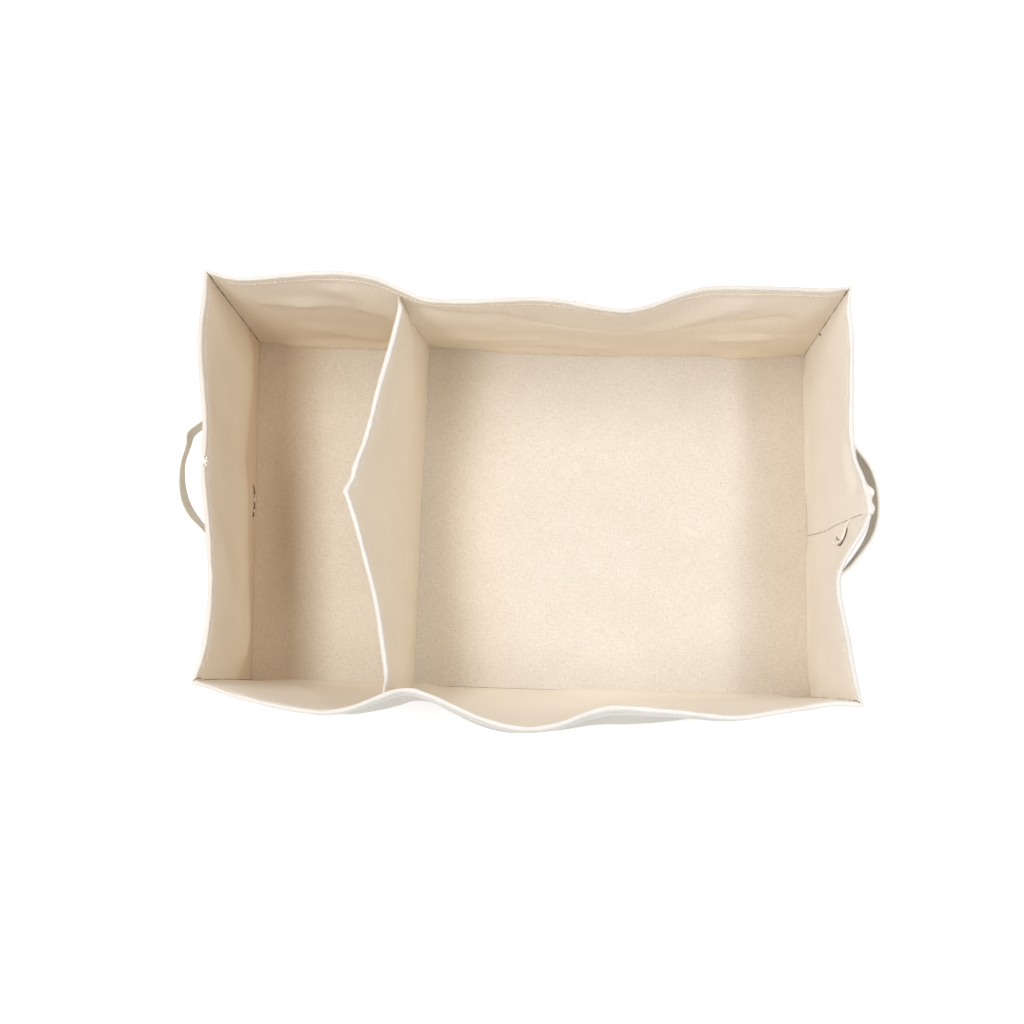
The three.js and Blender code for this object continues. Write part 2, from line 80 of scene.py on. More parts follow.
# Waves of each wall in millimetres outwards, at shares of its length: at the rim, and at half height.
# The walls run clockwise as seen from above.
WALLS = {
    "back": {
        "start": (-1, 1), "along": (1, 0), "out": (0, 1), "length": BIN_LENGTH,
        "rim": [(0, 0), (0.08, 3.5), (0.2, 8.9), (0.26, 4.6), (0.3, -2.9), (0.34, -10.2), (0.4, -11.4),
                (0.52, -7.9), (0.65, -15.7), (0.69, -12.2), (0.74, -2.8), (0.785, 3.3), (0.86, 4.4),
                (0.95, 3.6), (1, 0)],
        "belly": [(0, 0), (0.2, 2), (0.32, -6), (0.5, -6), (0.65, -9), (0.8, -2), (1, 0)],
    },
    "right": {
        "start": (1, 1), "along": (0, -1), "out": (1, 0), "length": BIN_WIDTH,
        "rim": [(0, 0), (0.04, 1.6), (0.09, 4), (0.2, 4), (0.33, 2.7), (0.41, 4.4), (0.47, 11), (0.535, 15.4),
                (0.58, 11.8), (0.68, -5.6), (0.74, -8.8), (0.875, -2), (0.94, 0.2), (1, 0)],
        "belly": [(0, 0), (0.3, 2), (0.53, 6), (0.75, -3), (1, 0)],
    },
    "front": {
        "start": (1, -1), "along": (-1, 0), "out": (0, -1), "length": BIN_LENGTH,
        "rim": [(0, 0), (0.05, 7.5), (0.11, 13.4), (0.18, 18.6), (0.29, 15.2), (0.36, 14.2), (0.4, 18.6),
                (0.45, 28), (0.5, 31.5), (0.565, 25.2), (0.66, 7.4), (0.695, 7), (0.77, 21.4),
                (0.82, 24.4), (0.95, 13.1), (1, 0)],
        "belly": [(0, 0), (0.1, 8), (0.21, 17.5), (0.385, 26), (0.51, 28), (0.57, 26), (0.62, 19.5),
                  (0.68, 12.5), (0.735, 16.5), (0.82, 18.5), (0.92, 10), (1, 0)],
    },
    "left": {
        "start": (-1, -1), "along": (0, 1), "out": (-1, 0), "length": BIN_WIDTH,
        "rim": [(0, 0), (0.09, -3.2), (0.19, -5.5), (0.28, -4.9), (0.4, -1.4), (0.5, 2), (0.62, 2.2),
                (0.72, 4.8), (0.82, 7.3), (0.9, 7.1), (0.95, 4.6), (1, 0)],
        "belly": [(0, 0), (0.2, -3), (0.5, 1), (0.8, 3), (1, 0)],
    },
}

# How far each corner opens outwards at the rim, along X and Y, in millimetres, and how late up the wall.
# FLARE_FADE is how far along the wall that reaches.
FLARE = {(-1, 1): (3, 5.5, 1), (1, 1): (2.5, 4.5, 1), (1, -1): (4, 4.5, 2.6), (-1, -1): (3.5, 3.5, 1.8)}
FLARE_FADE = 14

# Creases and soft folds that run through all the layers of a wall, in millimetres: from (along, up) to
# (along, up), how wide, how far outwards, and 1 for a sharp crease or 2 for a soft fold.
WALL_FOLDS = {
    "back": [
        (246, 123, 320, 110, 3, 2.0, 1), (320, 110, 343, 98, 3, 2.1, 1), (343, 98, 396, 114, 3, 1.8, 1),
        (430, 86, 446, 77, 3, 1.7, 1), (446, 77, 474, 80, 3, 1.8, 1), (388, 134, 400, 96, 4, 1.8, 2),
        (17, 160, 30, 142, 9, -1.2, 2), (30, 141, 62, 134, 12, -1.9, 2), (62, 134, 112, 130, 13, -1.9, 2),
        (95, 168, 135, 120, 16, -3.1, 2), (165, 165, 230, 130, 14, 2.7, 2), (350, 120, 400, 160, 16, -3.6, 2),
        (392, 108, 440, 128, 9, 2.8, 2), (180, 60, 300, 40, 18, -2.5, 2), (398, 68, 430, 72, 12, -3.1, 2),
        (215, 150, 222, 105, 9, 2.0, 2), (60, 60, 105, 40, 14, -2.2, 2),
    ],
    "right": [(30, 30, 60, 150, 16, 1.2, 2), (205, 60, 240, 160, 18, -1.4, 2), (250, 40, 285, 150, 12, 1, 2),
              (116, 176, 134, 170, 12, 5.0, 2)],
    "front": [
        (60, 60, 120, 150, 20, -2, 2), (300, 170, 330, 60, 12, -2.4, 2), (335, 60, 365, 160, 14, 1.8, 2),
        (215, 40, 260, 160, 20, 1.8, 2), (150, 30, 190, 130, 16, -1.4, 2),
    ],
    "left": [(40, 60, 90, 150, 20, -2.8, 2), (110, 70, 135, 150, 15, 1.6, 2), (180, 40, 215, 150, 18, 2.6, 2),
             (250, 60, 280, 160, 14, -2, 2)],
}


def through(points, x):
    """A smooth curve through (x, y) points, read at x."""
    px, py = np.array(points, float).T
    inner = (py[2:] - py[:-2]) / (px[2:] - px[:-2])
    ends = np.diff(py) / np.diff(px)
    slope = np.concatenate([ends[:1], inner, ends[-1:]])
    i = np.clip(np.searchsorted(px, x, side="right") - 1, 0, len(px) - 2)
    span = px[i + 1] - px[i]
    t = (x - px[i]) / span
    leave = slope[i] * span * t * (1 - t) ** 2
    arrive = slope[i + 1] * span * t * t * (1 - t)
    return py[i] + (py[i + 1] - py[i]) * t * t * (3 - 2 * t) + leave - arrive


def folded(folds, along, up):
    """How far a list of folds moves points of a wall, all in millimetres."""
    moved = np.zeros_like(along)
    for s0, z0, s1, z1, wide, rise, softness in folds:
        ds, dz = s1 - s0, z1 - z0
        t = np.clip(((along - s0) * ds + (up - z0) * dz) / (ds * ds + dz * dz), 0, 1)
        away = np.hypot(along - s0 - t * ds, up - z0 - t * dz) / wide
        moved += rise * np.exp(-away ** softness)
    return moved


def uneven(x, y, size, seed):
    """Soft random unevenness from -1 to 1, with bumps of about that size."""
    return np.array([noise.noise(Vector((a / size, b / size, seed))) for a, b in zip(x, y)])


def risen(up):
    """How far up the walls a height is, from 0 at the floor to 1 at the rim."""
    return np.clip((up - FLOOR_TOP) / (RIM - FLOOR_TOP), 0, 1)


def off_ends(share, steepness):
    """0 at both ends of a length, rising so steeply to 1 along its middle."""
    return np.minimum(1, steepness * np.minimum(share, 1 - share))


# The tape presses the layers of a wall together along the rim, from this far below it, and the corner
# seams press them most
RIM_PRESS = 0.2
RIM_PRESS_DROP = 26 * MM
RIM_PRESS_FADE = 12 * MM
CORNER_PRESS = 0.66
CORNER_FADE = 9


def pressed(share, length, up):
    """How much thinner a wall is at a place than its layers lie by themselves, from 0 to 1."""
    near = np.minimum(share, 1 - share).clip(0) * length / MM
    rim = RIM_PRESS * ((up - RIM + RIM_PRESS_DROP) / RIM_PRESS_FADE).clip(0, 1)
    return np.maximum(rim, CORNER_PRESS * risen(up) * np.exp(-(near / CORNER_FADE) ** 2))


def rack(points):
    """The bin stands a little out of square."""
    points[..., 1] -= RACK * points[..., 0]
    return points


# Small unevenness of every wall, in millimetres, and the size of its bumps
WOBBLE = 0.5
WOBBLE_SIZE = 42


def on_wall(wall, share, up, depth):
    """Points at shares of a wall's length and up it, at a depth behind its outer face."""
    side = WALLS[wall]
    depth = depth - pressed(share, side["length"], up) * np.clip(depth, 0, WALL_THICK)
    along = depth + (side["length"] - 2 * depth) * share
    s, z = along / MM, up / MM
    t = risen(up)
    rim = through(side["rim"], along / side["length"])
    belly = through(side["belly"], along / side["length"])
    out = rim * t * (2 * t - 1) + belly * 4 * t * (1 - t)
    held = np.minimum(1, 6 * t) * off_ends(share, 12)
    seed = sum(side["out"]) + 2 * side["out"][0]
    out += held * (folded(WALL_FOLDS[wall], s, z) + WOBBLE * uneven(s, z, WOBBLE_SIZE, seed))
    leave = tuple(side["start"])
    reach = tuple(a + 2 * b * (a * b < 0) for a, b in zip(leave, side["along"]))
    outward = 0 if side["out"][0] else 1
    for corner, away, way in ((leave, s, -1), (reach, side["length"] / MM - s, 1)):
        *flare, late = FLARE[corner]
        fade = t ** late * np.exp(-(away.clip(0) / FLARE_FADE) ** 2)
        out += flare[outward] * fade
        along = along + way * flare[1 - outward] * fade * MM
    out = out * MM - depth
    x = side["start"][0] * BIN_LENGTH / 2 + side["along"][0] * along + side["out"][0] * out
    y = side["start"][1] * BIN_WIDTH / 2 + side["along"][1] * along + side["out"][1] * out
    return rack(np.stack([x, y, np.broadcast_to(up, x.shape)], axis=-1))


def lay_cloth(name, cut, cells, place):
    """A flat cut of cloth, (width, height), whose points place() moves to where it is sewn. Its UV map keeps
    the flat cut's metres, so that the weave follows the cloth."""
    bpy.ops.object.select_all(action="DESELECT")
    bpy.ops.mesh.primitive_grid_add(x_subdivisions=cells[0], y_subdivisions=cells[1], size=1)
    piece = bpy.context.object
    piece.name = piece.data.name = name
    bpy.ops.object.mode_set(mode="EDIT")
    bpy.ops.mesh.select_all(action="SELECT")
    bpy.ops.transform.translate(value=(0.5, 0.5, 0))
    bpy.ops.object.mode_set(mode="OBJECT")
    mesh = piece.data
    flat = np.empty(len(mesh.vertices) * 3)
    mesh.vertices.foreach_get("co", flat)
    flat = flat.reshape(-1, 3)[:, :2]
    corner = np.empty(len(mesh.loops), int)
    mesh.loops.foreach_get("vertex_index", corner)
    mesh.uv_layers[0].data.foreach_set("uv", (flat[corner] * np.array(cut)).ravel())
    mesh.vertices.foreach_set("co", place(flat[:, 0], flat[:, 1]).ravel())
    mesh.update()
    return piece


def choose(*pieces):
    """Selects these pieces alone, and makes the first of them the active one."""
    bpy.ops.object.select_all(action="DESELECT")
    for piece in pieces:
        piece.select_set(True)
    bpy.context.view_layer.objects.active = pieces[0]


def coat(piece, material):
    """Gives a piece that material alone."""
    piece.data.materials.clear()
    piece.data.materials.append(material)


def finish(piece, thickness, material, edge=0.0, smooth=40):
    """Gives a laid cloth its thickness and a softened edge, then smooths and colours it."""
    choose(piece)
    solid = piece.modifiers.new("thickness", "SOLIDIFY")
    solid.thickness = thickness
    solid.offset = 0
    solid.use_even_offset = True
    bpy.ops.object.modifier_apply(modifier="thickness")
    if edge:
        soft = piece.modifiers.new("edge", "BEVEL")
        soft.width = edge
        soft.segments = 2
        soft.limit_method = "ANGLE"
        soft.angle_limit = math.radians(60)
        bpy.ops.object.modifier_apply(modifier="edge")
    bpy.ops.object.shade_smooth_by_angle(angle=math.radians(smooth))
    coat(piece, material)


class Weave:
    """A node tree for one cloth: plain-woven threads, slubs and a soft mottle, all on the UV map's metres."""

    def __init__(self, name):
        self.material = bpy.data.materials.new(name)
        self.material.use_nodes = True
        self.tree = self.material.node_tree
        self.shader = self.tree.nodes["Principled BSDF"]
        self.uv = self.add("ShaderNodeTexCoord").outputs["UV"]

    def add(self, kind, **values):
        """A node with its inputs linked or set, and its settings."""
        node = self.tree.nodes.new(kind)
        for key, value in values.items():
            if isinstance(value, bpy.types.NodeSocket):
                self.tree.links.new(value, node.inputs[key.replace("_", " ")])
            elif key.replace("_", " ") in node.inputs:
                node.inputs[key.replace("_", " ")].default_value = value
            else:
                setattr(node, key, value)
        return node

    def link(self, start, node, socket):
        self.tree.links.new(start, node.inputs[socket])

    def calc(self, operation, first, second=None, third=None):
        """One step of arithmetic on values or sockets."""
        node = self.add("ShaderNodeMath", operation=operation)
        for i, value in enumerate((first, second, third)):
            if isinstance(value, bpy.types.NodeSocket):
                self.link(value, node, i)
            elif value is not None:
                node.inputs[i].default_value = value
        return node.outputs[0]

    def weighted(self, first, weight, second, other_weight):
        """Two patterns added up, each times its weight."""
        return self.calc("MULTIPLY_ADD", first, weight, self.calc("MULTIPLY", second, other_weight))

    def rounded(self, along, pitch):
        """A row of round threads across a direction: 0 between two of them, 1 on top of one."""
        return self.calc("ABSOLUTE", self.calc("SINE", self.calc("MULTIPLY", along, math.pi / pitch)))

    def directions(self):
        """The places along the cloth's cut, by X and Y."""
        return self.add("ShaderNodeSeparateXYZ", Vector=self.uv).outputs

    def stretched_noise(self, across, up, detail=2.0, roughness=0.5):
        """Noise with so many bumps a metre across and up the cloth, from 0 to 1."""
        scaled = self.add("ShaderNodeMapping", Vector=self.uv, Scale=(across, up, 1))
        found = self.add(
            "ShaderNodeTexNoise", Vector=scaled.outputs[0], Scale=1.0, Detail=detail, Roughness=roughness
        )
        return found.outputs["Fac"]

    def specks(self, across, up, least):
        """Short thick places in the thread: 1 on a speck, 0 beside it."""
        found = self.calc("MULTIPLY", self.calc("SUBTRACT", self.stretched_noise(across, up, 1), least), 12.0)
        return self.calc("MINIMUM", self.calc("MAXIMUM", found, 0.0), 1.0)

    def threads(self, pitch):
        """The height of a plain weave, from 0 to 1."""
        parts = self.directions()
        across = self.calc("DIVIDE", parts["X"], pitch)
        up = self.calc("DIVIDE", parts["Y"], pitch)
        warp, weft = self.rounded(across, 1), self.rounded(up, 1)
        cells = self.calc("ADD", self.calc("FLOOR", across), self.calc("FLOOR", up))
        over = self.calc("MODULO", self.calc("ADD", cells, 10000.0), 2.0)
        warp_up = self.calc("MULTIPLY", over, self.calc("MULTIPLY_ADD", warp, 0.7, 0.3))
        under = self.calc("SUBTRACT", 1.0, over)
        weft_up = self.calc("MULTIPLY", under, self.calc("MULTIPLY_ADD", weft, 0.7, 0.3))
        round_off = self.calc("MULTIPLY", warp, weft)
        return self.weighted(round_off, 0.5, self.calc("ADD", warp_up, weft_up), 0.5)

    def colours(self, dark, light, amount, low=0.3, high=0.7):
        """A colour that runs from dark to light while amount goes from low to high."""
        ramp = self.add("ShaderNodeValToRGB", Fac=amount)
        for stop, place, colour in zip(ramp.color_ramp.elements, (low, high), (dark, light)):
            stop.position = place
            stop.color = (*colour, 1)
        return ramp.outputs["Color"]

    def banded(self, colour, axis, bands):
        """The colour times one that changes along the cloth, listed as (metres along the axis, colour)."""
        parts = self.directions()
        widest = bands[-1][0]
        ramp = self.add("ShaderNodeValToRGB", Fac=self.calc("DIVIDE", parts[axis], widest))
        stops = ramp.color_ramp.elements
        for place, band in bands[1:-1]:
            stops.new(place / widest).color = (*band, 1)
        stops[0].color = (*bands[0][1], 1)
        stops[-1].color = (*bands[-1][1], 1)
        both = self.add("ShaderNodeVectorMath", operation="MULTIPLY")
        self.link(colour, both, 0)
        self.link(ramp.outputs["Color"], both, 1)
        return both.outputs[0]

    def done(self, colour, height, depth, sheen, gloss=0.25):
        """Gives the material its colour, a relief that many metres deep, its sheen and its gloss."""
        bump = self.add("ShaderNodeBump", Height=height, Strength=1.0, Distance=depth)
        self.link(colour, self.shader, "Base Color")
        self.link(bump.outputs[0], self.shader, "Normal")
        surface = {
            "Roughness": 0.92, "Specular IOR Level": gloss, "Sheen Weight": sheen, "Sheen Roughness": 0.6
        }
        for socket, value in surface.items():
            self.shader.inputs[socket].default_value = value
        return self.material


# Bumps a metre along and across a slubbed thread, and how much paler a thick place is, how much darker a
# speck of seed is, and how much the threads themselves shade the colour
SLUB = (140, 1100)
THICK_PALE = 0.28
SEED_DARK = 0.5
THREAD_SHADE = 0.08


def canvas(name, dark, light, pitch, slubs, depth, axis="Y", bands=None):
    """Cotton canvas. dark and light are the colours that its slubs and mottle run between, slubs is their
    share, and bands are painted shade and light along an axis of its cut, where it is browner or paler."""
    weave = Weave(name)
    along_weft = weave.stretched_noise(*SLUB, 3)
    along_warp = weave.stretched_noise(*reversed(SLUB), 3)
    mottle = weave.stretched_noise(22, 22, 4, 0.6)
    streaks = weave.weighted(along_warp, 0.5, along_weft, 0.5)
    mixed = weave.weighted(streaks, slubs, mottle, 1 - slubs)
    threads = weave.threads(pitch)
    thick = weave.specks(330, 820, 0.6)
    seeds = weave.specks(760, 420, 0.62)
    seeded = weave.calc("MULTIPLY_ADD", seeds, -SEED_DARK, mixed)
    flecked = weave.calc("MULTIPLY_ADD", thick, THICK_PALE, seeded)
    shade = weave.calc("MULTIPLY_ADD", threads, THREAD_SHADE, weave.calc("ADD", flecked, -THREAD_SHADE / 2))
    height = weave.calc("MULTIPLY_ADD", thick, 0.6, weave.calc("MULTIPLY_ADD", streaks, 1.2, threads))
    colour = weave.colours(dark, light, shade)
    if bands:
        colour = weave.banded(colour, axis, bands)
    return weave.done(colour, height, depth, 0.1)


outer_canvas = canvas("outer_canvas", (0.70, 0.66, 0.59), (0.80, 0.765, 0.70), 0.75 * MM, 0.6, 0.16 * MM)
CLOTH_EDGE = 0.15 * MM
OUTER_CELL = 3 * MM

for wall, side in WALLS.items():
    def outer_face(share, rise, wall=wall):
        return on_wall(wall, share, rise * WALL_TOP, OUTER_CLOTH / 2)

    cells = (round(side["length"] / OUTER_CELL), 64)
    cloth = lay_cloth(f"{wall}_outer_cloth", (side["length"], WALL_TOP), cells, outer_face)
    finish(cloth, OUTER_CLOTH, outer_canvas, edge=CLOTH_EDGE)
    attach(cloth, "bin")
    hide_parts(f"outer_{wall}")

BOTTOM_EDGE = 0.9 * MM


def bottom_face(share, rise):
    x = (share - 0.5) * (BIN_LENGTH - 2 * BOTTOM_EDGE)
    y = (rise - 0.5) * (BIN_WIDTH - 2 * BOTTOM_EDGE)
    return rack(np.stack([x, y, np.full_like(x, OUTER_CLOTH / 2)], axis=-1))


bottom = lay_cloth("bottom_outer_cloth", (BIN_LENGTH, BIN_WIDTH), (48, 30), bottom_face)
finish(bottom, OUTER_CLOTH, outer_canvas, edge=CLOTH_EDGE)
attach(bottom, "bin")
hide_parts("outer_bottom")

# Felt stiffeners. A pressed felt lies between the outer cloth and the lining of each wall, so that the
# bin stands by itself. It stops short of the corner seams, and the end walls have two pieces, which meet at
# the middle seam.
FELT = 0.9 * MM
FELT_SHORT = 7 * MM
FELT_CELL = 5 * MM
FELT_DEPTH = OUTER_CLOTH + SEWN_GAP + FELT / 2
INNER_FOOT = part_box("lining_floor")[0].z
# The middle seam of both ends, as a share of the wall, and how far it drifts at the right end, at heights,
# in millimetres
END_SEAM = 0.535
SEAM_DRIFT = [(0, -0.7), (40, 2), (78, 3.8), (157, 3.3), (200, 3.8)]


def felt():
    """Pressed grey-white felt with short crossed fibres."""
    weave = Weave("pressed_felt")
    fibres = weave.stretched_noise(900, 900, 6, 0.7)
    tufts = weave.stretched_noise(90, 90, 3)
    mixed = weave.weighted(fibres, 0.7, tufts, 0.3)
    colour = weave.colours((0.60, 0.59, 0.56), (0.74, 0.73, 0.70), mixed)
    return weave.done(colour, fibres, 0.15 * MM, 0.2)


felt_finish = felt()


def halves(wall):
    """The parts of a wall's inner layers: (name of the CAD piece, first share, last share)."""
    if wall in ("back", "front"):
        return [(wall, 0, 1)]
    first, second = ("back", "front") if wall == "right" else ("front", "back")
    seam_gap = (SEWN_GAP / 2 if wall == "right" else 0.0) / BIN_WIDTH
    return [(f"{wall}_{first}", 0, END_SEAM - seam_gap), (f"{wall}_{second}", END_SEAM + seam_gap, 1)]


def drifted(wall, spot, up):
    """Shares of a wall's length, moved with the right end's seam, which isn't sewn quite upright."""
    if wall != "right":
        return spot
    near = np.minimum(spot / END_SEAM, (1 - spot) / (1 - END_SEAM))
    return spot + near * through(SEAM_DRIFT, up / MM) * MM / BIN_WIDTH


for wall, side in WALLS.items():
    short = FELT_SHORT / side["length"]
    for part, first, last in halves(wall):
        first, last = max(first, short), min(last, 1 - short)

        def felt_face(share, rise, wall=wall, first=first, last=last):
            up = INNER_FOOT + rise * (WALL_TOP - INNER_FOOT)
            return on_wall(wall, drifted(wall, first + (last - first) * share, up), up, FELT_DEPTH)

        cut = (side["length"] * (last - first), WALL_TOP - INNER_FOOT)
        piece = lay_cloth(f"{part}_felt", cut, (round(cut[0] / FELT_CELL), 38), felt_face)
        finish(piece, FELT, felt_finish)
        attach(piece, "bin")
        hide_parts(f"stiffener_{part}")

# Base board. A grey paperboard lies between the bottom cloth and the floor lining and keeps the floor
# flat. It is cut a little smaller than the walls and isn't sewn.


def paperboard():
    """Grey board with faint pressed fibres. It reads the object's own place, as it has no cloth pattern."""
    weave = Weave("grey_paperboard")
    weave.uv = weave.add("ShaderNodeTexCoord").outputs["Object"]
    fibres = weave.stretched_noise(700, 1500, 5, 0.65)
    colour = weave.colours((0.36, 0.31, 0.24), (0.46, 0.41, 0.33), fibres)
    return weave.done(colour, fibres, 0.1 * MM, 0.0)


coat(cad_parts["base_board"], paperboard())

# Lining. Slubbed natural canvas covers the inside: one piece on each long wall and two on each end,
# sewn at the corners, round the floor and up the middle of both ends. It is a little slack.
LINING = WALL_THICK - OUTER_CLOTH - FELT - 2 * SEWN_GAP
LINING_DEPTH = OUTER_CLOTH + 2 * SEWN_GAP + FELT + LINING / 2
SEAM_EDGE = 0.175 * MM
LINING_CELL = 2.2 * MM

# Slack of the lining in millimetres inwards, listed as the walls' folds are
LINING_SLACK = {
    "back": [(225, 8, 310, 8, 20, 3.2, 2), (185, 6, 360, 6, 22, 1.8, 2), (340, 6, 410, 5, 16, 1.8, 2),
             (26, 6, 118, 6, 12, 4.4, 2), (420, 6, 455, 6, 14, 3.6, 2), (200, 60, 250, 66, 7, 0.8, 2),
             (205, 40, 260, 52, 5, 0.7, 2)],
    "right": [(20, 5, 120, 5, 9, 1.6, 2), (180, 5, 280, 5, 9, 1.8, 2), (130, 90, 190, 120, 14, 0.8, 2)],
    "front": [(30, 5, 200, 5, 10, 2, 2), (330, 5, 460, 5, 10, 2, 2)],
    "left": [(12, 58, 288, 60, 26, 4.6, 2), (150, 22, 164, 22, 6, 1.2, 2)],
}

# Painted shade and light on the lining: the walls in shade (the left end, the divider and the back) get a
# browner canvas than the lit right end and front, and each is painted browner near the foot, where shade
# gathers. For each place: its dark and light colour, then how much painted shade it has at heights in metres.
LINING_PAINTED_SHADE = {
    "back": ((0.88, 0.78, 0.635), (0.97, 0.885, 0.77),
             [(0, (0.975, 0.925, 0.86)), (0.09, (0.985, 0.955, 0.91)), (0.15, (1.01, 1, 1)),
              (0.2, (1.01, 1, 1))]),
    "right": ((0.92, 0.835, 0.72), (0.975, 0.905, 0.82),
              [(0, (0.99, 0.97, 0.95)), (0.05, (1, 1, 1)), (0.2, (1, 1, 1))]),
    "front": ((0.92, 0.84, 0.72), (0.975, 0.91, 0.82),
              [(0, (0.99, 0.97, 0.95)), (0.05, (1, 1, 1)), (0.2, (1, 1, 1))]),
    "left": ((0.88, 0.75, 0.575), (0.95, 0.84, 0.69),
             [(0, (0.92, 0.85, 0.78)), (0.05, (0.91, 0.85, 0.78)), (0.062, (0.975, 0.955, 0.93)),
              (0.09, (1, 1, 1)), (0.2, (1, 0.99, 0.98))]),
    "divider": ((0.88, 0.765, 0.605), (0.955, 0.865, 0.725),
                [(0, (0.985, 0.96, 0.92)), (0.09, (1, 1, 1)), (0.2, (1, 1, 1))]),
}
lining_canvas = {
    place: canvas(f"{place}_lining_canvas", dark, light, 0.8 * MM, 0.62, 0.2 * MM, "Y", painted_bands)
    for place, (dark, light, painted_bands) in LINING_PAINTED_SHADE.items()
}

# How far the rim's tape comes down
TAPE_DROP = 14 * MM
# Puckers below that tape and beside an upright seam, in millimetres: how high, how far they reach and how
# wide. They are so many times longer than wide.
RIM_PUCKER, RIM_PUCKER_REACH, RIM_PUCKER_WIDE = 0.22, 7, 6
SEAM_PUCKER, SEAM_PUCKER_REACH, SEAM_PUCKER_WIDE = 0.3, 6, 7
PUCKER_LONG = 4


def puckered(along, up, seams):
    """Small puckers in millimetres where stitches draw the lining in, beside upright seams and the rim."""
    below_tape = ((RIM - TAPE_DROP) / MM - up).clip(0)
    lumps = uneven(along, up / PUCKER_LONG, RIM_PUCKER_WIDE, 5)
    total = RIM_PUCKER * lumps * np.exp(-below_tape / RIM_PUCKER_REACH)
    for seam in seams:
        lumps = uneven(along / PUCKER_LONG, up, SEAM_PUCKER_WIDE, 9 + seam)
        total += SEAM_PUCKER * lumps * np.exp(-np.abs(along - seam) / SEAM_PUCKER_REACH)
    return total


def on_lining(wall, spot, up, off=0.0):
    """Points of a wall's lining, with its slack and its puckers, and off its middle into the bin."""
    side = WALLS[wall]
    face = on_wall(wall, spot, up, LINING_DEPTH)
    s, z = spot * side["length"] / MM, up / MM
    slack = off_ends(spot, 14) * folded(LINING_SLACK[wall], s, z)
    seams = [0, END_SEAM, 1] if wall == "right" else [0, 1]
    slack += puckered(s, z, [share * side["length"] / MM for share in seams]).clip(0)
    out = np.array([*side["out"], 0.0])
    return face - (slack * MM + off)[:, None] * out


# At the corners each lining reaches a little past the seam, so that no gap opens there, and it begins just
# above the bottom's layers
LINING_PAST = 0.5 * MM
LINING_FOOT = INNER_FOOT + 0.3 * MM

for wall, side in WALLS.items():
    for part, first, last in halves(wall):
        cut = (side["length"] * (last - first), WALL_TOP - INNER_FOOT)
        first -= (first == 0) * LINING_PAST / side["length"]
        last += (last == 1) * LINING_PAST / side["length"]

        def lining_face(share, rise, wall=wall, first=first, last=last):
            up = LINING_FOOT + rise * (WALL_TOP - LINING_FOOT)
            return on_lining(wall, drifted(wall, first + (last - first) * share, up), up)

        piece = lay_cloth(f"{part}_lining", cut, (round(cut[0] / LINING_CELL), 90), lining_face)
        # The weave runs on over the left end's flat seam
        if part == "left_back":
            for corner in piece.data.uv_layers[0].data:
                corner.uv.x += END_SEAM * BIN_WIDTH
        finish(piece, LINING, lining_canvas[wall], edge=SEAM_EDGE if wall == "right" else 0)
        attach(piece, "bin")
        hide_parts(f"lining_{part}")

# Floor lining. One rectangle of the same canvas on the base board, sewn to the wall linings all round,
# where it puckers a little.
FLOOR_EDGE = 2.75 * MM
# In millimetres: how high and how wide its soft swells are, how high, how far from the seam and how wide
# its puckers, and how high and from how far it turns up into the seam
FLOOR_SWELL, FLOOR_SWELL_WIDE = 0.35, 55
FLOOR_PUCKER, FLOOR_PUCKER_REACH, FLOOR_PUCKER_WIDE = 0.5, 9, 12
FLOOR_TURN, FLOOR_TURN_REACH = 1.4, 4


def floor_face(share, rise):
    x = (share - 0.5) * (BIN_LENGTH - 2 * FLOOR_EDGE)
    y = (rise - 0.5) * (BIN_WIDTH - 2 * FLOOR_EDGE)
    edge = np.minimum(BIN_LENGTH / 2 - np.abs(x), BIN_WIDTH / 2 - np.abs(y)) / MM
    swell = FLOOR_SWELL * uneven(x / MM, y / MM, FLOOR_SWELL_WIDE, 3).clip(0)
    puckers = FLOOR_PUCKER * uneven(x / MM, y / MM, FLOOR_PUCKER_WIDE, 8).clip(0)
    swell += puckers * np.exp(-edge / FLOOR_PUCKER_REACH) + FLOOR_TURN * np.exp(-edge / FLOOR_TURN_REACH)
    up = FLOOR_TOP - LINING / 2 + swell * MM
    return rack(np.stack([x, y, up], axis=-1))


# Painted shade on the floor where the walls and the divider cast their shadows: browner along both ends and
# just right of the divider, with a little painted light in the lit middle of the narrow compartment, listed
# in metres from the left end
FLOOR_PAINTED_SHADE = [
    (0, (0.965, 0.855, 0.71)), (0.034, (0.975, 0.87, 0.74)), (0.044, (1, 0.93, 0.84)),
    (0.075, (1.05, 1.03, 1)), (0.14, (1.02, 1, 0.98)), (0.165, (0.98, 0.92, 0.83)), (0.2, (1, 0.975, 0.94)),
    (0.25, (1, 1, 1)), (0.41, (1, 1, 1)), (0.445, (0.985, 0.94, 0.90)), (0.48, (0.965, 0.89, 0.84)),
]
floor_canvas = canvas("floor_lining_canvas", (0.655, 0.59, 0.495), (0.80, 0.75, 0.68),
                      0.8 * MM, 0.78, 0.2 * MM, "X", FLOOR_PAINTED_SHADE)
floor_lining = lay_cloth("floor_lining", (BIN_LENGTH, BIN_WIDTH), (180, 112), floor_face)
finish(floor_lining, LINING, floor_canvas, edge=CLOTH_EDGE)
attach(floor_lining, "bin")
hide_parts("lining_floor")

# Divider. Two faces of the lining canvas with felt between them, sewn across the bin. Its foot is
# straight and its top edge bows to the left, with a sharp upright fold where it bows most. Both ends of the
# top edge dip and curl in under the rim tape.
DIVIDER_BACK_X = -89 * MM
DIVIDER_FRONT_X = -99 * MM
DIVIDER_BACK_LEAN = -6 * MM
DIVIDER_FRONT_LEAN = -2 * MM
DIVIDER_BOW = 34.5 * MM
DIVIDER_APEX = 0.505
DIVIDER_TOP = RIM - 2 * MM
DIVIDER_FOOT = FLOOR_TOP + 0.2 * MM
DIVIDER_CLOTH = 0.5 * MM
DIVIDER_FELT = 0.6 * MM
# How far inside the walls' outer faces it ends, below the rim's tape and behind it
DIVIDER_SET_IN, DIVIDER_SET_IN_TAPE = 2.75, 2.9
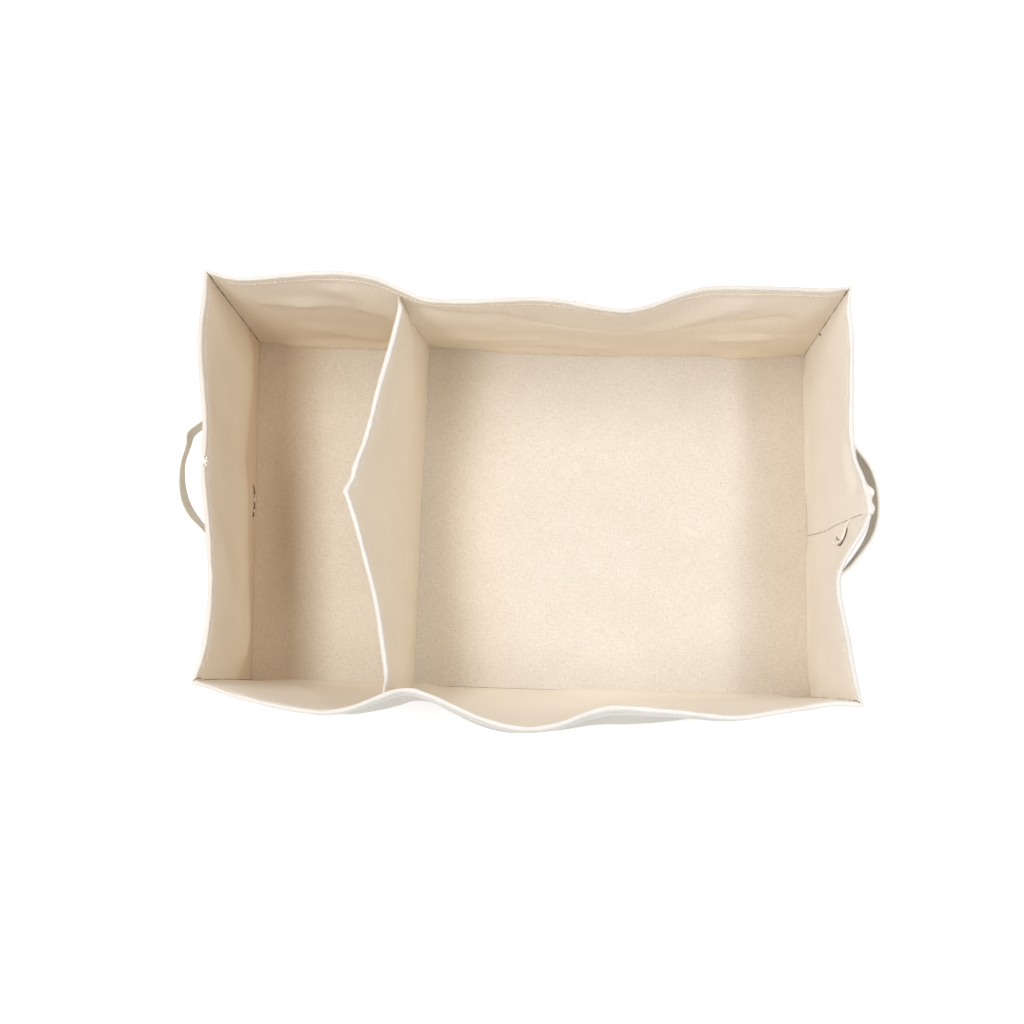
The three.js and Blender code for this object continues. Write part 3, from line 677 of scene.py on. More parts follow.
# The share of the bow at shares of the way from the back to the front
DIVIDER_BOWING = [(0, 0), (0.055, 0.025), (0.228, 0.385), (0.374, 0.675), (0.44, 0.865), (DIVIDER_APEX, 1),
                  (0.6, 0.77), (0.677, 0.565), (0.776, 0.32), (0.874, 0.155), (0.96, 0.02), (1, 0)]
# How hard its tape, from how far below its top, and the ends of its top edge press its layers together, and
# by how much more the fold does. Fades are in millimetres.
DIVIDER_PRESS, DIVIDER_PRESS_DROP, DIVIDER_PRESS_FADE = 0.04, 20 * MM, 9 * MM
DIVIDER_END_PRESS, DIVIDER_END_FADE = 0.5, 9
FOLD_PRESS, FOLD_PRESS_FADE = 0.6, 4
# The pinch of the fold at the top edge and its width, and where behind it and by which share of that the
# edge swings back, in millimetres
DIVIDER_PINCH, DIVIDER_PINCH_WIDE = 2.4, 5
SWING_BACK_AT, SWING_BACK = -10, 0.6
# Curl of each end (0 is the back one): how far to the left, its reach and how far the top edge dips
DIVIDER_CURL = [(0, 2.6, 6, 12), (1, 3.2, 8, 8)]
DIVIDER_FOLDS = [(20, 120, 70, 60, 16, 1.4, 2), (60, 150, 120, 100, 20, -1.2, 2),
                 (180, 90, 240, 150, 18, 1.2, 2), (250, 60, 285, 130, 14, -1, 2)]
DIVIDER_WOBBLE_SIZE = 38


def on_divider(share, up, across):
    """Points of the divider from its back end to its front end, and across its thickness."""
    t = up / RIM
    top = (t - 0.5).clip(0) * 2
    from_fold = (share - DIVIDER_APEX) * BIN_WIDTH / MM
    pinch = np.exp(-np.abs(from_fold) / DIVIDER_PINCH_WIDE)
    back = SWING_BACK * np.exp(-((from_fold - SWING_BACK_AT) / DIVIDER_PINCH_WIDE) ** 2)
    shift = DIVIDER_PINCH * (pinch - back) * top
    for end, curl, reach, dip in DIVIDER_CURL:
        close = np.exp(-((share - end) * BIN_WIDTH / MM / reach) ** 2)
        shift = shift + curl * close * t
        up = up - dip * close * top ** 4 * MM
    pressing = DIVIDER_PRESS * ((up - DIVIDER_TOP + DIVIDER_PRESS_DROP) / DIVIDER_PRESS_FADE).clip(0, 1)
    from_end = np.minimum(share, 1 - share) * BIN_WIDTH / MM
    pressing = pressing + DIVIDER_END_PRESS * top ** 4 * np.exp(-(from_end / DIVIDER_END_FADE) ** 2)
    across = across * (1 - pressing * (1 + FOLD_PRESS * np.exp(-np.abs(from_fold) / FOLD_PRESS_FADE)))
    set_in = np.where(up > RIM - TAPE_DROP - 1 * MM, DIVIDER_SET_IN_TAPE, DIVIDER_SET_IN) * MM
    ends = []
    for wall, foot_x, lean in (
        ("back", DIVIDER_BACK_X, DIVIDER_BACK_LEAN),
        ("front", DIVIDER_FRONT_X, DIVIDER_FRONT_LEAN),
    ):
        x = foot_x + lean * t + across
        spot = (x + BIN_LENGTH / 2) / BIN_LENGTH if wall == "back" else (BIN_LENGTH / 2 - x) / BIN_LENGTH
        face = on_wall(wall, spot, up, np.zeros_like(up))
        face[:, 1] -= WALLS[wall]["out"][1] * set_in
        face[:, 0] = x
        ends.append(face)
    points = ends[0] + (ends[1] - ends[0]) * share[:, None]
    points[:, 0] -= DIVIDER_BOW * t * through(DIVIDER_BOWING, share) + shift * MM
    s, z = share * BIN_WIDTH / MM, up / MM
    held = off_ends(share, 10) * np.minimum(1, 5 * t)
    wobble = WOBBLE * uneven(s, z, DIVIDER_WOBBLE_SIZE, 21)
    points[:, 0] += held * MM * (folded(DIVIDER_FOLDS, s, z) + wobble)
    return points


for side, sign in (("left", -1), ("right", 1)):
    def divider_face(share, rise, sign=sign):
        across = sign * (DIVIDER_FELT / 2 + SEWN_GAP + DIVIDER_CLOTH / 2)
        return on_divider(share, DIVIDER_FOOT + rise * (DIVIDER_TOP - DIVIDER_FOOT), across)

    piece = lay_cloth(f"divider_{side}_cloth", (BIN_WIDTH, DIVIDER_TOP), (140, 88), divider_face)
    finish(piece, DIVIDER_CLOTH, lining_canvas["divider"], edge=CLOTH_EDGE)
    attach(piece, "bin")
    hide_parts(f"divider_face_{side}")

for half, first, last in (("back", 0, DIVIDER_APEX - 0.001), ("front", DIVIDER_APEX + 0.001, 1)):
    def core_face(share, rise, first=first, last=last):
        up = DIVIDER_FOOT + rise * (DIVIDER_TOP - DIVIDER_FOOT)
        return on_divider(first + (last - first) * share, up, 0)

    piece = lay_cloth(f"divider_{half}_felt", (BIN_WIDTH / 2, DIVIDER_TOP), (40, 38), core_face)
    finish(piece, DIVIDER_FELT, felt_finish)
    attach(piece, "bin")
    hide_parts(f"divider_stiffener_{half}")

# Binding tape. Cotton tape is folded over every raw edge and sewn through: one long tape round the rim,
# lapped at the right end, one on the divider and one on each upright corner seam. It is white, with
# painted shade along its fold over the top, and takes the lining's colour where it lies on the lining.
TAPE = 0.5 * MM
RIM_LAP = 20 * MM
LAP_SHARE = 0.485
# How far the crumpled lap stands off the wall's outside, past the place where it starts, in millimetres
LAP_LUMPS = [(-4, 0), (-1, 0.4), (1.5, 2.4), (5, 2.6), (7.5, 0.7), (11, 0.1), (14, 0.8), (17, 1.1), (20, 0.3)]
# How far the tape's folded corners stick out at the left end, -1, and at the right end, 1
EAR_REACH = {-1: 1.6 * MM, 1: 2.3 * MM}

TAPE_RIB = 0.9 * MM
TAPE_WHITE = (0.80, 0.77, 0.715)
# Painted shade: the fold over the top is painted darker than the legs, as the most light falls there
TAPE_PAINTED_SHADE = (0.715, 0.672, 0.622)
TAPE_NATURAL = (0.90, 0.81, 0.705)


def tape(name, across, along=None):
    """Cotton tape with fine slanting ribs. across lists its colours from hem to hem, as (metres, colour), and
    along how they change from its start to its end."""
    weave = Weave(name)
    parts = weave.directions()
    slant = weave.calc("ADD", parts["X"], parts["Y"])
    ribs = weave.rounded(slant, TAPE_RIB)
    fuzz = weave.stretched_noise(500, 500, 4, 0.6)
    mottle = weave.stretched_noise(40, 60, 2)
    shade = weave.weighted(fuzz, 0.5, mottle, 0.5)
    worn = weave.colours((0.93, 0.92, 0.905), (1.04, 1.04, 1.035), shade, 0.3, 0.62)
    colour = weave.banded(worn, "Y", across)
    if along:
        colour = weave.banded(colour, "X", along)
    return weave.done(colour, weave.calc("MULTIPLY_ADD", fuzz, 0.8, ribs), 0.12 * MM, 0.15)


# How much higher than a half circle the fold of a tape is
TAPE_CROWN = 1.3 * MM


def folded_tape(rise, thick, top, drop, lift):
    """The section of a tape folded over an edge of that thickness: (depth, height) for rise from the outer
    hem, 0, over the top to the inner hem, 1. lift raises the tape off the cloth."""
    reach = thick / 2 + SEWN_GAP + TAPE / 2 + lift
    straight = drop - TAPE_CROWN
    arc = math.pi * reach / 2 + TAPE_CROWN
    run = rise * (2 * straight + arc)
    turn = np.clip((run - straight) / arc, 0, 1) * math.pi
    depth = thick / 2 - reach * np.cos(turn)
    up = top - TAPE_CROWN + TAPE_CROWN * np.sin(turn)
    up = up - np.clip(straight - run, 0, None) - np.clip(run - straight - arc, 0, None)
    return depth, up


RIM_AROUND = 2 * (BIN_LENGTH + BIN_WIDTH)
RIM_START = BIN_LENGTH + LAP_SHARE * BIN_WIDTH
# The tape's own lumps and waves, how far its laid-over end is raised and how much that is crumpled, in
# millimetres, and how wide the ear at a corner is
RIM_LUMPS, RIM_WAVES = 0.38, 0.25
LAP_LIFT = 0.5
LAP_CRUMPLE = 0.6
EAR_WIDE = 4 * MM
# How deep the stitches sink in, and where they run, from 0 in the middle of the tape to 1 at a hem: on the
# outside and on the inside
STITCH_GROOVE = 0.22 * MM
OUTER_ROW, INNER_ROW = 0.84, 0.63


def rim_tape_face(share, rise):
    run = share * (RIM_AROUND + RIM_LAP)
    past = run - RIM_AROUND
    lapped = np.clip(1 + past / (4 * MM), 0, 1)
    around = (RIM_START + run) % RIM_AROUND
    lumps = uneven(around / MM, rise * 9, 12, 31) + 0.6 * uneven(around / MM, rise * 9, 6, 33)
    waves = uneven(around / MM, rise * 0, 26, 37)
    crumpled = lapped * uneven(around / MM, rise * 20, 3.5, 61)
    bunched = np.where(past > -4 * MM, through(LAP_LUMPS, np.clip(past / MM, -4, 20)), 0)
    outside = ((0.62 - rise) / 0.24).clip(0, 1)
    lift = (RIM_LUMPS * lumps + LAP_LIFT * lapped + LAP_CRUMPLE * crumpled + outside * bunched) * MM
    raised = RIM_WAVES * waves + LAP_LIFT * lapped + 0.4 * crumpled + 0.35 * bunched
    top = RIM + SEWN_GAP + TAPE / 2 + raised * MM
    depth, up = folded_tape(rise, WALL_THICK, top, TAPE_DROP, lift)
    hem = np.abs(2 * rise - 1)
    sewn = np.exp(-((hem - np.where(rise < 0.5, OUTER_ROW, INNER_ROW)) / 0.05) ** 2)
    depth = depth + np.where(rise < 0.5, 1, -1) * STITCH_GROOVE * sewn
    up = up - ((hem - 0.8) / 0.2).clip(0) * 0.7 * MM * lumps
    points = np.zeros((len(share), 3))
    begin = 0.0
    for wall, side in WALLS.items():
        local = (around - begin) / side["length"]
        here = (local >= 0) & (local <= 1)
        found = on_wall(wall, local[here], up[here], depth[here])
        corners = np.minimum(local[here], 1 - local[here]) * side["length"]
        ear = np.exp(-(corners / EAR_WIDE) ** 1.2) * (depth[here] < WALL_THICK * 0.35)
        start = np.array(side["start"], float)
        tip = np.where(local[here, None] < 0.5, start, start + 2 * np.array(side["along"]))
        ear *= np.where(tip[:, 0] < 0, EAR_REACH[-1], EAR_REACH[1])
        found[:, 0] += tip[:, 0] * ear
        found[:, 1] += tip[:, 1] * ear
        points[here] = found
        begin += side["length"]
    return points


tape_cut = (RIM_AROUND + RIM_LAP, 2 * TAPE_DROP + WALL_THICK)
rim_tape = lay_cloth("rim_tape", tape_cut, (1000, 34), rim_tape_face)
rim_colours = [(0, TAPE_WHITE), (12.6 * MM, TAPE_WHITE), (14 * MM, TAPE_PAINTED_SHADE), (17.6 * MM, TAPE_PAINTED_SHADE),
               (18.6 * MM, TAPE_NATURAL), (tape_cut[1], TAPE_NATURAL)]
# Along the rim the tape is paler and bluer on the right end and the front, and browner on the left end
PALER_BLUER_TINT, BROWNER_TINT = (1.03, 1.045, 1.065), (0.975, 0.95, 0.92)
rim_tints = [(0, PALER_BLUER_TINT), (0.3, PALER_BLUER_TINT), (0.6, (1, 1, 1)), (0.65, BROWNER_TINT), (0.92, BROWNER_TINT),
           (0.96, (0.99, 0.975, 0.955)), (1.4, (1, 0.99, 0.975)), (1.44, PALER_BLUER_TINT), (tape_cut[0], PALER_BLUER_TINT)]
finish(rim_tape, TAPE, tape("rim_tape", rim_colours, rim_tints), edge=0.12 * MM, smooth=50)
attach(rim_tape, "bin")
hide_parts("rim_binding")

DIVIDER_TAPE = 0.4 * MM
DIVIDER_TAPE_DROP = 11 * MM
DIVIDER_THICK = DIVIDER_FELT + 2 * SEWN_GAP + 2 * DIVIDER_CLOTH
NARROW_TAPE_EDGE = 0.1 * MM


def divider_tape_face(share, rise):
    lumps = uneven(share * BIN_WIDTH / MM, rise * 6, 7, 41)
    waves = uneven(share * BIN_WIDTH / MM, rise * 0, 17, 43)
    top = DIVIDER_TOP + SEWN_GAP + DIVIDER_TAPE / 2 + 0.3 * MM * waves
    depth, up = folded_tape(rise, DIVIDER_THICK, top, DIVIDER_TAPE_DROP, (0.1 + 0.5 * lumps) * MM)
    return on_divider(share, up, depth - DIVIDER_THICK / 2)


tape_cut = (BIN_WIDTH, 2 * DIVIDER_TAPE_DROP + DIVIDER_THICK)
divider_tape = lay_cloth("divider_tape", tape_cut, (300, 30), divider_tape_face)
divider_colours = [(0, TAPE_NATURAL), (8.4 * MM, TAPE_NATURAL), (9.4 * MM, TAPE_PAINTED_SHADE), (14.6 * MM, TAPE_PAINTED_SHADE),
                   (15.6 * MM, TAPE_NATURAL), (tape_cut[1], TAPE_NATURAL)]
finish(divider_tape, DIVIDER_TAPE, tape("divider_tape", divider_colours), edge=NARROW_TAPE_EDGE, smooth=50)
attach(divider_tape, "bin")
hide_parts("divider_binding")

# Each corner tape stands out from the bin as a fin, less so near the rim, and its hems reach back past the
# corner to the walls, most at the foot
FIN_REACH = 5.3 * MM
FIN_THICK = 0.9 * MM
FIN_TAPE = 0.4 * MM
FIN_SHRINK = 0.35
FIN_HEM_FOOT, FIN_HEM_TOP = 1.2, 0.5
FIN_WOBBLE = 0.3 * MM
FIN_CUT = (RIM - TAPE_DROP, 12 * MM)
corner_tape = tape("corner_tape", [(0, TAPE_WHITE), (FIN_CUT[1], TAPE_WHITE)])

for sx, sy in FLARE:
    name = ("front_", "back_")[sy > 0] + ("left", "right")[sx > 0]

    def fin_face(share, rise, sx=sx, sy=sy):
        up = 0.2 * MM + share * (RIM - TAPE_DROP - 1 * MM)
        t = risen(up)
        wobble = FIN_WOBBLE * uneven(up / MM, rise * 2, 16, 51 + sx + 3 * sy)
        stands = FIN_REACH * (1 - FIN_SHRINK * t ** 4)
        hem = (FIN_HEM_FOOT + (FIN_HEM_TOP - FIN_HEM_FOOT) * t) * MM
        across, reach = folded_tape(rise, FIN_THICK, stands, stands + hem, 0.0)
        across = across - FIN_THICK / 2 + 0.6 * wobble
        reach = reach + wobble * 0.5
        turn = sx * sy
        flare_x, flare_y, late = FLARE[sx, sy]
        x = sx * (BIN_LENGTH / 2 + flare_x * t ** late * MM + (reach + turn * across) * math.sqrt(0.5))
        y = sy * (BIN_WIDTH / 2 + flare_y * t ** late * MM + (reach - turn * across) * math.sqrt(0.5))
        return rack(np.stack([x, y, up], axis=-1))

    fin = lay_cloth(f"{name}_corner_tape", FIN_CUT, (90, 14), fin_face)
    finish(fin, FIN_TAPE, corner_tape, edge=NARROW_TAPE_EDGE, smooth=50)
    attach(fin, "bin")
    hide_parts(f"corner_binding_{name}")

# Strap handles. Cotton webbing on edge: each end is sewn flat to the end wall, and the middle bows out
# as a loop that fingers go behind. The loop swings up and down where it leaves the wall.
STRAP_WIDE = 22 * MM
STRAP_THICK = 1.8 * MM
STRAP_MIDDLE = RIM - 49 * MM
# Where along Y the middle of each strap is
STRAP_PLACE = {"left": 8 * MM, "right": -2 * MM}
# Distances from its middle in millimetres: to where the loop leaves the wall, to the last of its bow and to
# the strap's end
STRAP_SPAN = 56
STRAP_BOW_END = 60
STRAP_END = 82
# Bow of each loop, and its lean outwards at the top edge, at distances along the wall from its middle
STRAP_ARCH = {
    "left": [(-60, 0), (-56, 0.6), (-45, 8), (-36, 16.6), (-25.7, 23.5), (-13.6, 27.5), (-1.4, 28.7),
             (9.3, 28), (18.2, 25.5), (23, 24.2), (30, 23.2), (33.5, 20.5), (37.5, 15.5), (42.5, 9),
             (48.5, 3.4), (56, 0.5), (60, 0)],
    "right": [(-60, 0), (-56, 0.6), (-48, 6.2), (-38, 14), (-27, 21.2), (-14, 26), (0, 27.5), (14, 26),
              (27, 21.2), (38, 14), (48, 6.2), (56, 0.6), (60, 0)],
}
STRAP_LEAN = {
    "left": [(-60, 0), (-36, 0.2), (-26, 0.15), (-14, 0.06), (0, -0.03), (8, -0.09), (21, -0.09), (28, 0),
             (60, 0)],
    "right": [(-60, 0), (-28, 0.12), (0, 0.05), (28, 0.08), (60, 0)],
}


def webbing():
    """Natural cotton webbing with ribs across it and a firm woven edge, painted paler as a painted highlight
    of its lit top edge.
    """
    weave = Weave("strap_webbing")
    parts = weave.directions()
    ribs = weave.calc("SINE", weave.calc("MULTIPLY", parts["X"], 2 * math.pi / (1.4 * MM)))
    columns = weave.calc("SINE", weave.calc("MULTIPLY", parts["Y"], 2 * math.pi / (1.1 * MM)))
    fuzz = weave.stretched_noise(420, 420, 4, 0.6)
    shade = weave.weighted(fuzz, 0.8, ribs, 0.06)
    # Both edges are painted paler: a painted highlight where the top edge catches the light
    from_middle = weave.calc("ABSOLUTE", weave.calc("SUBTRACT", parts["Y"], STRAP_WIDE / 2))
    edge_highlight = weave.calc("MULTIPLY", weave.calc("SUBTRACT", from_middle, STRAP_WIDE / 2 - 0.5 * MM), 1000.0)
    shade = weave.calc("ADD", shade, weave.calc("MAXIMUM", edge_highlight, 0.0))
    colour = weave.colours((0.80, 0.705, 0.585), (0.96, 0.895, 0.80), shade, 0.2, 0.95)
    height = weave.calc("MULTIPLY_ADD", columns, 0.4, weave.calc("MULTIPLY_ADD", fuzz, 0.8, ribs))
    return weave.done(colour, height, 0.14 * MM, 0.15)


strap_finish = webbing()


def lengths_along(path):
    """How far along a path each of its points is."""
    return np.concatenate([[0], np.cumsum(np.linalg.norm(np.diff(path, axis=0), axis=1))])


def on_strap(wall, s, up, off=0.0):
    """Points of a strap: s along the wall from its middle, in millimetres, up the wall, and off its core."""
    nx = WALLS[wall]["out"][0]
    spot = (BIN_WIDTH / 2 - nx * STRAP_PLACE[wall] + s * MM) / BIN_WIDTH
    seat = SEWN_GAP + STRAP_THICK / 2 + off
    face = on_wall(wall, spot, up, np.zeros_like(up))
    free = np.clip((STRAP_SPAN + 3 - np.abs(s)) / 14, 0, 1)
    free = free * free * (3 - 2 * free)
    bowed = np.clip(s, -STRAP_BOW_END, STRAP_BOW_END)
    arch = np.where(np.abs(s) < STRAP_BOW_END, through(STRAP_ARCH[wall], bowed), 0) * MM
    wall_out = nx * face[:, 0] - BIN_LENGTH / 2
    out = (wall_out + seat) * (1 - free) + arch
    lean = through(STRAP_LEAN[wall], bowed) * free
    face[:, 0] = nx * (BIN_LENGTH / 2 + out + lean * (up - STRAP_MIDDLE))
    face[:, 1] = STRAP_PLACE[wall] - nx * s * MM - RACK * face[:, 0]
    return face


for wall in STRAP_PLACE:
    steps = np.linspace(-STRAP_END, STRAP_END, 400)
    lengths = lengths_along(on_strap(wall, steps, np.full(400, STRAP_MIDDLE)))

    def strap_face(share, rise, wall=wall, steps=steps, lengths=lengths):
        s = np.interp(share * lengths[-1], lengths, steps)
        return on_strap(wall, s, STRAP_MIDDLE + (rise - 0.5) * STRAP_WIDE)

    strap = lay_cloth(f"{wall}_strap", (lengths[-1], STRAP_WIDE), (150, 14), strap_face)
    finish(strap, STRAP_THICK, strap_finish, edge=0.55 * MM, smooth=50)
    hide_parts(f"{wall}_handle_loop", f"{wall}_handle_tab_back", f"{wall}_handle_tab_front")
    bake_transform(strap)

# Stitching. Natural cotton thread: a row through each tape near its hems, and a box on each end of the
# straps.
THREAD = 0.35 * MM
STITCH = 3.0 * MM
STITCH_PITCH = 3.9 * MM


def thread(name, dark, light, sheen=0.1, gloss=0.25):
    """Twisted cotton thread."""
    weave = Weave(name)
    fuzz = weave.stretched_noise(2500, 2500, 3)
    return weave.done(weave.colours(dark, light, fuzz), fuzz, 0.05 * MM, sheen, gloss)


natural_thread = thread("cotton_thread", (0.80, 0.73, 0.61), (0.93, 0.88, 0.79))


def one_stitch():
    """A single stitch along X, half sunk in the cloth below it."""
    bpy.ops.object.select_all(action="DESELECT")
    bpy.ops.mesh.primitive_cylinder_add(
        vertices=6, radius=THREAD, depth=STITCH * 0.7, rotation=(0, math.pi / 2, 0)
    )
    stitch = bpy.context.object
    bpy.ops.object.transform_apply(rotation=True)
    bpy.ops.object.mode_set(mode="EDIT")
    bpy.ops.mesh.select_mode(type="FACE")
    for end in (1, -1):
        bpy.ops.mesh.select_all(action="DESELECT")
        bpy.ops.object.mode_set(mode="OBJECT")
        for face in stitch.data.polygons:
            face.select = face.normal.x * end > 0.9
        bpy.ops.object.mode_set(mode="EDIT")
        sunk_end = (end * STITCH * 0.15, 0, -THREAD * 0.9)
        bpy.ops.mesh.extrude_region_move(TRANSFORM_OT_translate={"value": sunk_end})
        bpy.ops.transform.resize(value=(1, 0.5, 0.5))
    bpy.ops.object.mode_set(mode="OBJECT")
    points = np.array([v.co for v in stitch.data.vertices])
    # Extruding lists points and faces in another order each run, so both are sorted by place
    order = np.lexsort(points.round(7).T)
    number = np.argsort(order)
    faces = []
    for face in stitch.data.polygons:
        ring = number[list(face.vertices)].tolist()
        first = ring.index(min(ring))
        faces.append(ring[first:] + ring[:first])
    bpy.data.objects.remove(stitch)
    return points[order], sorted(faces)


STITCH_POINTS, STITCH_FACES = one_stitch()


def sew(name, rows, cotton=natural_thread, bulk=1.0):
    """Rows of stitches along paths, each a pair: the path's points and the way out of the cloth there."""
    points, faces = [], []
    for path, outward in rows:
        steps = lengths_along(path)
        count = int(steps[-1] / STITCH_PITCH)
        middles = (np.arange(count) + 0.5) * steps[-1] / max(count, 1)
        for middle in middles:
            a, b, c = (
                np.array([np.interp(middle + shift, steps, path[:, i]) for i in range(3)])
                for shift in (-STITCH / 2, 0, STITCH / 2)
            )
            up = np.array([np.interp(middle, steps, outward[:, i]) for i in range(3)])
            ahead = c - a
            ahead /= np.linalg.norm(ahead)
            up -= ahead * up.dot(ahead)
            up /= np.linalg.norm(up)
            frame_of = np.stack([ahead, np.cross(up, ahead), up])
            faces += [[i + len(points) * len(STITCH_POINTS) for i in face] for face in STITCH_FACES]
            points.append(b + STITCH_POINTS * (1, bulk, bulk) @ frame_of)
    mesh = bpy.data.meshes.new(name)
    mesh.from_pydata(np.concatenate(points).tolist(), [], faces)
    row = bpy.data.objects.new(name, mesh)
    bpy.context.scene.collection.objects.link(row)
    row.data.uv_layers.new()
    coat(row, cotton)
    choose(row)
    bpy.ops.object.shade_smooth_by_angle(angle=math.radians(60))
    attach(row, "bin")
    return row


def squared(place, share, up, depth, step):
    """A path over the cloth that place() lays, and the way square to the cloth at each of its points."""
    path = place(share, up, depth)
    beside = place(share + step, up, depth)
    above = place(share, up + 1 * MM, depth)
    return path, np.cross(beside - path, above - path)


def sewn_row(wall, share, up, depth):
    """A path along a wall at that depth, with the way out of the cloth, which is outwards above the wall's
    outer face."""
    path, normal = squared(partial(on_wall, wall), share, up, depth, 0.002)
    nudge = on_wall(wall, share, up, depth + math.copysign(0.5 * MM, depth))
    normal *= np.sign(np.sum(normal * (nudge - path), axis=1))[:, None]
    return path, normal


# The rim tape's rows, as (height, depth): the outer one and the inner one
TAPE_ROWS = [
    (RIM - TAPE_DROP + 2.6 * MM, -(SEWN_GAP + TAPE)),
    (RIM - 8.5 * MM, WALL_THICK + SEWN_GAP + TAPE),
]
share = np.linspace(0.02, 0.98, 400)
rows = [sewn_row(wall, share, np.full(400, up), depth) for wall in WALLS for up, depth in TAPE_ROWS]
sew("rim_stitching", rows)

rows = []
share = np.linspace(0.03, 0.97, 300)
stitch_up = np.full(300, DIVIDER_TOP - DIVIDER_TAPE_DROP + 2.5 * MM)
for sign in (-1, 1):
    face = sign * (DIVIDER_THICK / 2 + SEWN_GAP + DIVIDER_TAPE)
    path, normal = squared(on_divider, share, stitch_up, face, 0.003)
    rows.append((path, normal * np.sign(normal[:, :1]) * sign))
sew("divider_stitching", rows)

# The box and its slanting line on a strap's end, between corners in millimetres from the strap's middle
BOX_NEAR, BOX_FAR, BOX_HIGH = 59.5, 78.5, 8
BOX_LINES = [
    (BOX_NEAR, -BOX_HIGH, BOX_FAR, -BOX_HIGH), (BOX_FAR, -BOX_HIGH, BOX_FAR, BOX_HIGH),
    (BOX_FAR, BOX_HIGH, BOX_NEAR, BOX_HIGH), (BOX_NEAR, BOX_HIGH, BOX_NEAR, -BOX_HIGH),
    (BOX_NEAR, -BOX_HIGH, BOX_FAR, BOX_HIGH),
]
for wall in STRAP_PLACE:
    nx = WALLS[wall]["out"][0]
    for side in (-1, 1):
        rows = []
        for s0, z0, s1, z1 in BOX_LINES:
            s = side * np.linspace(s0, s1, 30)
            up = STRAP_MIDDLE + np.linspace(z0, z1, 30) * MM
            path = on_strap(wall, s, up, STRAP_THICK / 2)
            rows.append((path, np.tile([float(nx), 0.0, 0.0], (30, 1))))
        end = "back" if side * nx < 0 else "front"
        box = sew(f"{wall}_strap_{end}_stitching", rows)
        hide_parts(f"{wall}_handle_stitch_{end}")

# Seam threads. The upright seams of the lining are sewn with dark brown thread, which shows as slanting
# stitches up the middle of the right end. A whole dark thread laid up each corner is painted shade for the
# shadow line where the linings meet, and dark wedges of it where the floor seam gapes are painted shadow.
seam_thread = thread("brown_seam_thread", (0.10, 0.052, 0.022), (0.20, 0.115, 0.055), 0.0, 0.05)
THREAD_SIDES = 8
THREAD_STEP = 1.2 * MM


def lay_thread(name, strands, cotton):
    """Bare threads, each a pair: the points it runs through, and its radius there in millimetres."""
    laid = []
    for path, radius in strands:
        steps = lengths_along(path)
        middle = np.linspace(0, steps[-1], max(8, int(steps[-1] / THREAD_STEP)))
        line = np.stack([through(list(zip(steps, path[:, i])), middle) for i in range(3)], axis=1)
        thick = np.interp(middle, steps, radius) * MM
        thick[[0, -1]] = 0  # both ends close in a point
        ahead = np.gradient(line, axis=0)
        ahead /= np.linalg.norm(ahead, axis=1)[:, None]
        across = np.cross(ahead, np.eye(3)[np.argmin(np.abs(ahead).sum(axis=0))])
        across /= np.linalg.norm(across, axis=1)[:, None]
        other = np.cross(ahead, across)

        def round_thread(share, rise, line=line, thick=thick, across=across, other=other):
            i = np.rint(share * (len(line) - 1)).astype(int)
            turn = (rise * 2 * math.pi)[:, None]
            return line[i] + thick[i][:, None] * (np.cos(turn) * across[i] + np.sin(turn) * other[i])

        piece = lay_cloth(name, (steps[-1], 2 * MM), (len(line) - 1, THREAD_SIDES), round_thread)
        bpy.ops.object.mode_set(mode="EDIT")
        bpy.ops.mesh.select_all(action="SELECT")
        bpy.ops.mesh.remove_doubles(threshold=1e-7)
        bpy.ops.mesh.normals_make_consistent(inside=False)
        bpy.ops.object.mode_set(mode="OBJECT")
        laid.append(piece)
    choose(*laid)
    bpy.ops.object.join()
    joined = bpy.context.object
    joined.name = joined.data.name = name
    coat(joined, cotton)
    bpy.ops.object.shade_smooth_by_angle(angle=math.radians(60))
    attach(joined, "bin")


# Radius of each corner's dark thread, the painted shade of the corner's shadow line, at heights above the
# table, all in millimetres. The walls named are those that start at the corner.
CORNER_SHADE_THREADS = {
    "back": [(5, 0.3), (60, 0.36), (150, 0.4), (185, 0.38), (199, 0.32)],
    "right": [(5, 0.2), (83, 0.22), (84, 0.38), (150, 0.38), (199, 0.32)],
    "front": [(5, 0.24), (20, 0.18), (120, 0.18), (170, 0.24), (199, 0.2)],
    "left": [(5, 0.3), (30, 0.26), (60, 0.2), (130, 0.2), (165, 0.28), (199, 0.25)],
}
strands = []
for wall, sizes in CORNER_SHADE_THREADS.items():
    heights, radii = np.array(sizes).T
    up = np.linspace(5, 199.4, 66)
    on_tape = np.clip((up - (RIM - TAPE_DROP) / MM + 1) / 2, 0, 1) * 1.2
    wander = 0.25 * uneven(up, up * 0, 14, 71 + len(strands))
    path = on_wall(wall, np.zeros(66), up * MM, WALL_THICK + (0.1 + on_tape + wander.clip(-0.1)) * MM)
    crown, crown_depth = np.array([(200.5, 3.2), (200.8, 2), (200.8, 1), (200.4, 0)]).T * MM
    over = on_wall(wall, np.zeros(4), crown, crown_depth)
    radius = np.interp(up, heights, radii) * (1 + 0.25 * uneven(up, up * 0, 5, 75))
    strands.append((np.concatenate([path, over]), np.concatenate([radius, np.full(4, 0.28)])))


def on_lining_at(wall, places, off):
    """A path over the lining through (along, up) places in millimetres, that far off it."""
    s, z = np.array(places, float).T
    return on_lining(wall, s * MM / WALLS[wall]["length"], z * MM, LINING / 2 + off * MM)


knot = [(2.6, 83), (3.2, 84.5), (3.4, 86)]
strands.append((on_lining_at("right", knot, 0.4), np.array([0.5, 0.9, 0.5])))
lay_thread("corner_seam_shadow_threads", strands, seam_thread)

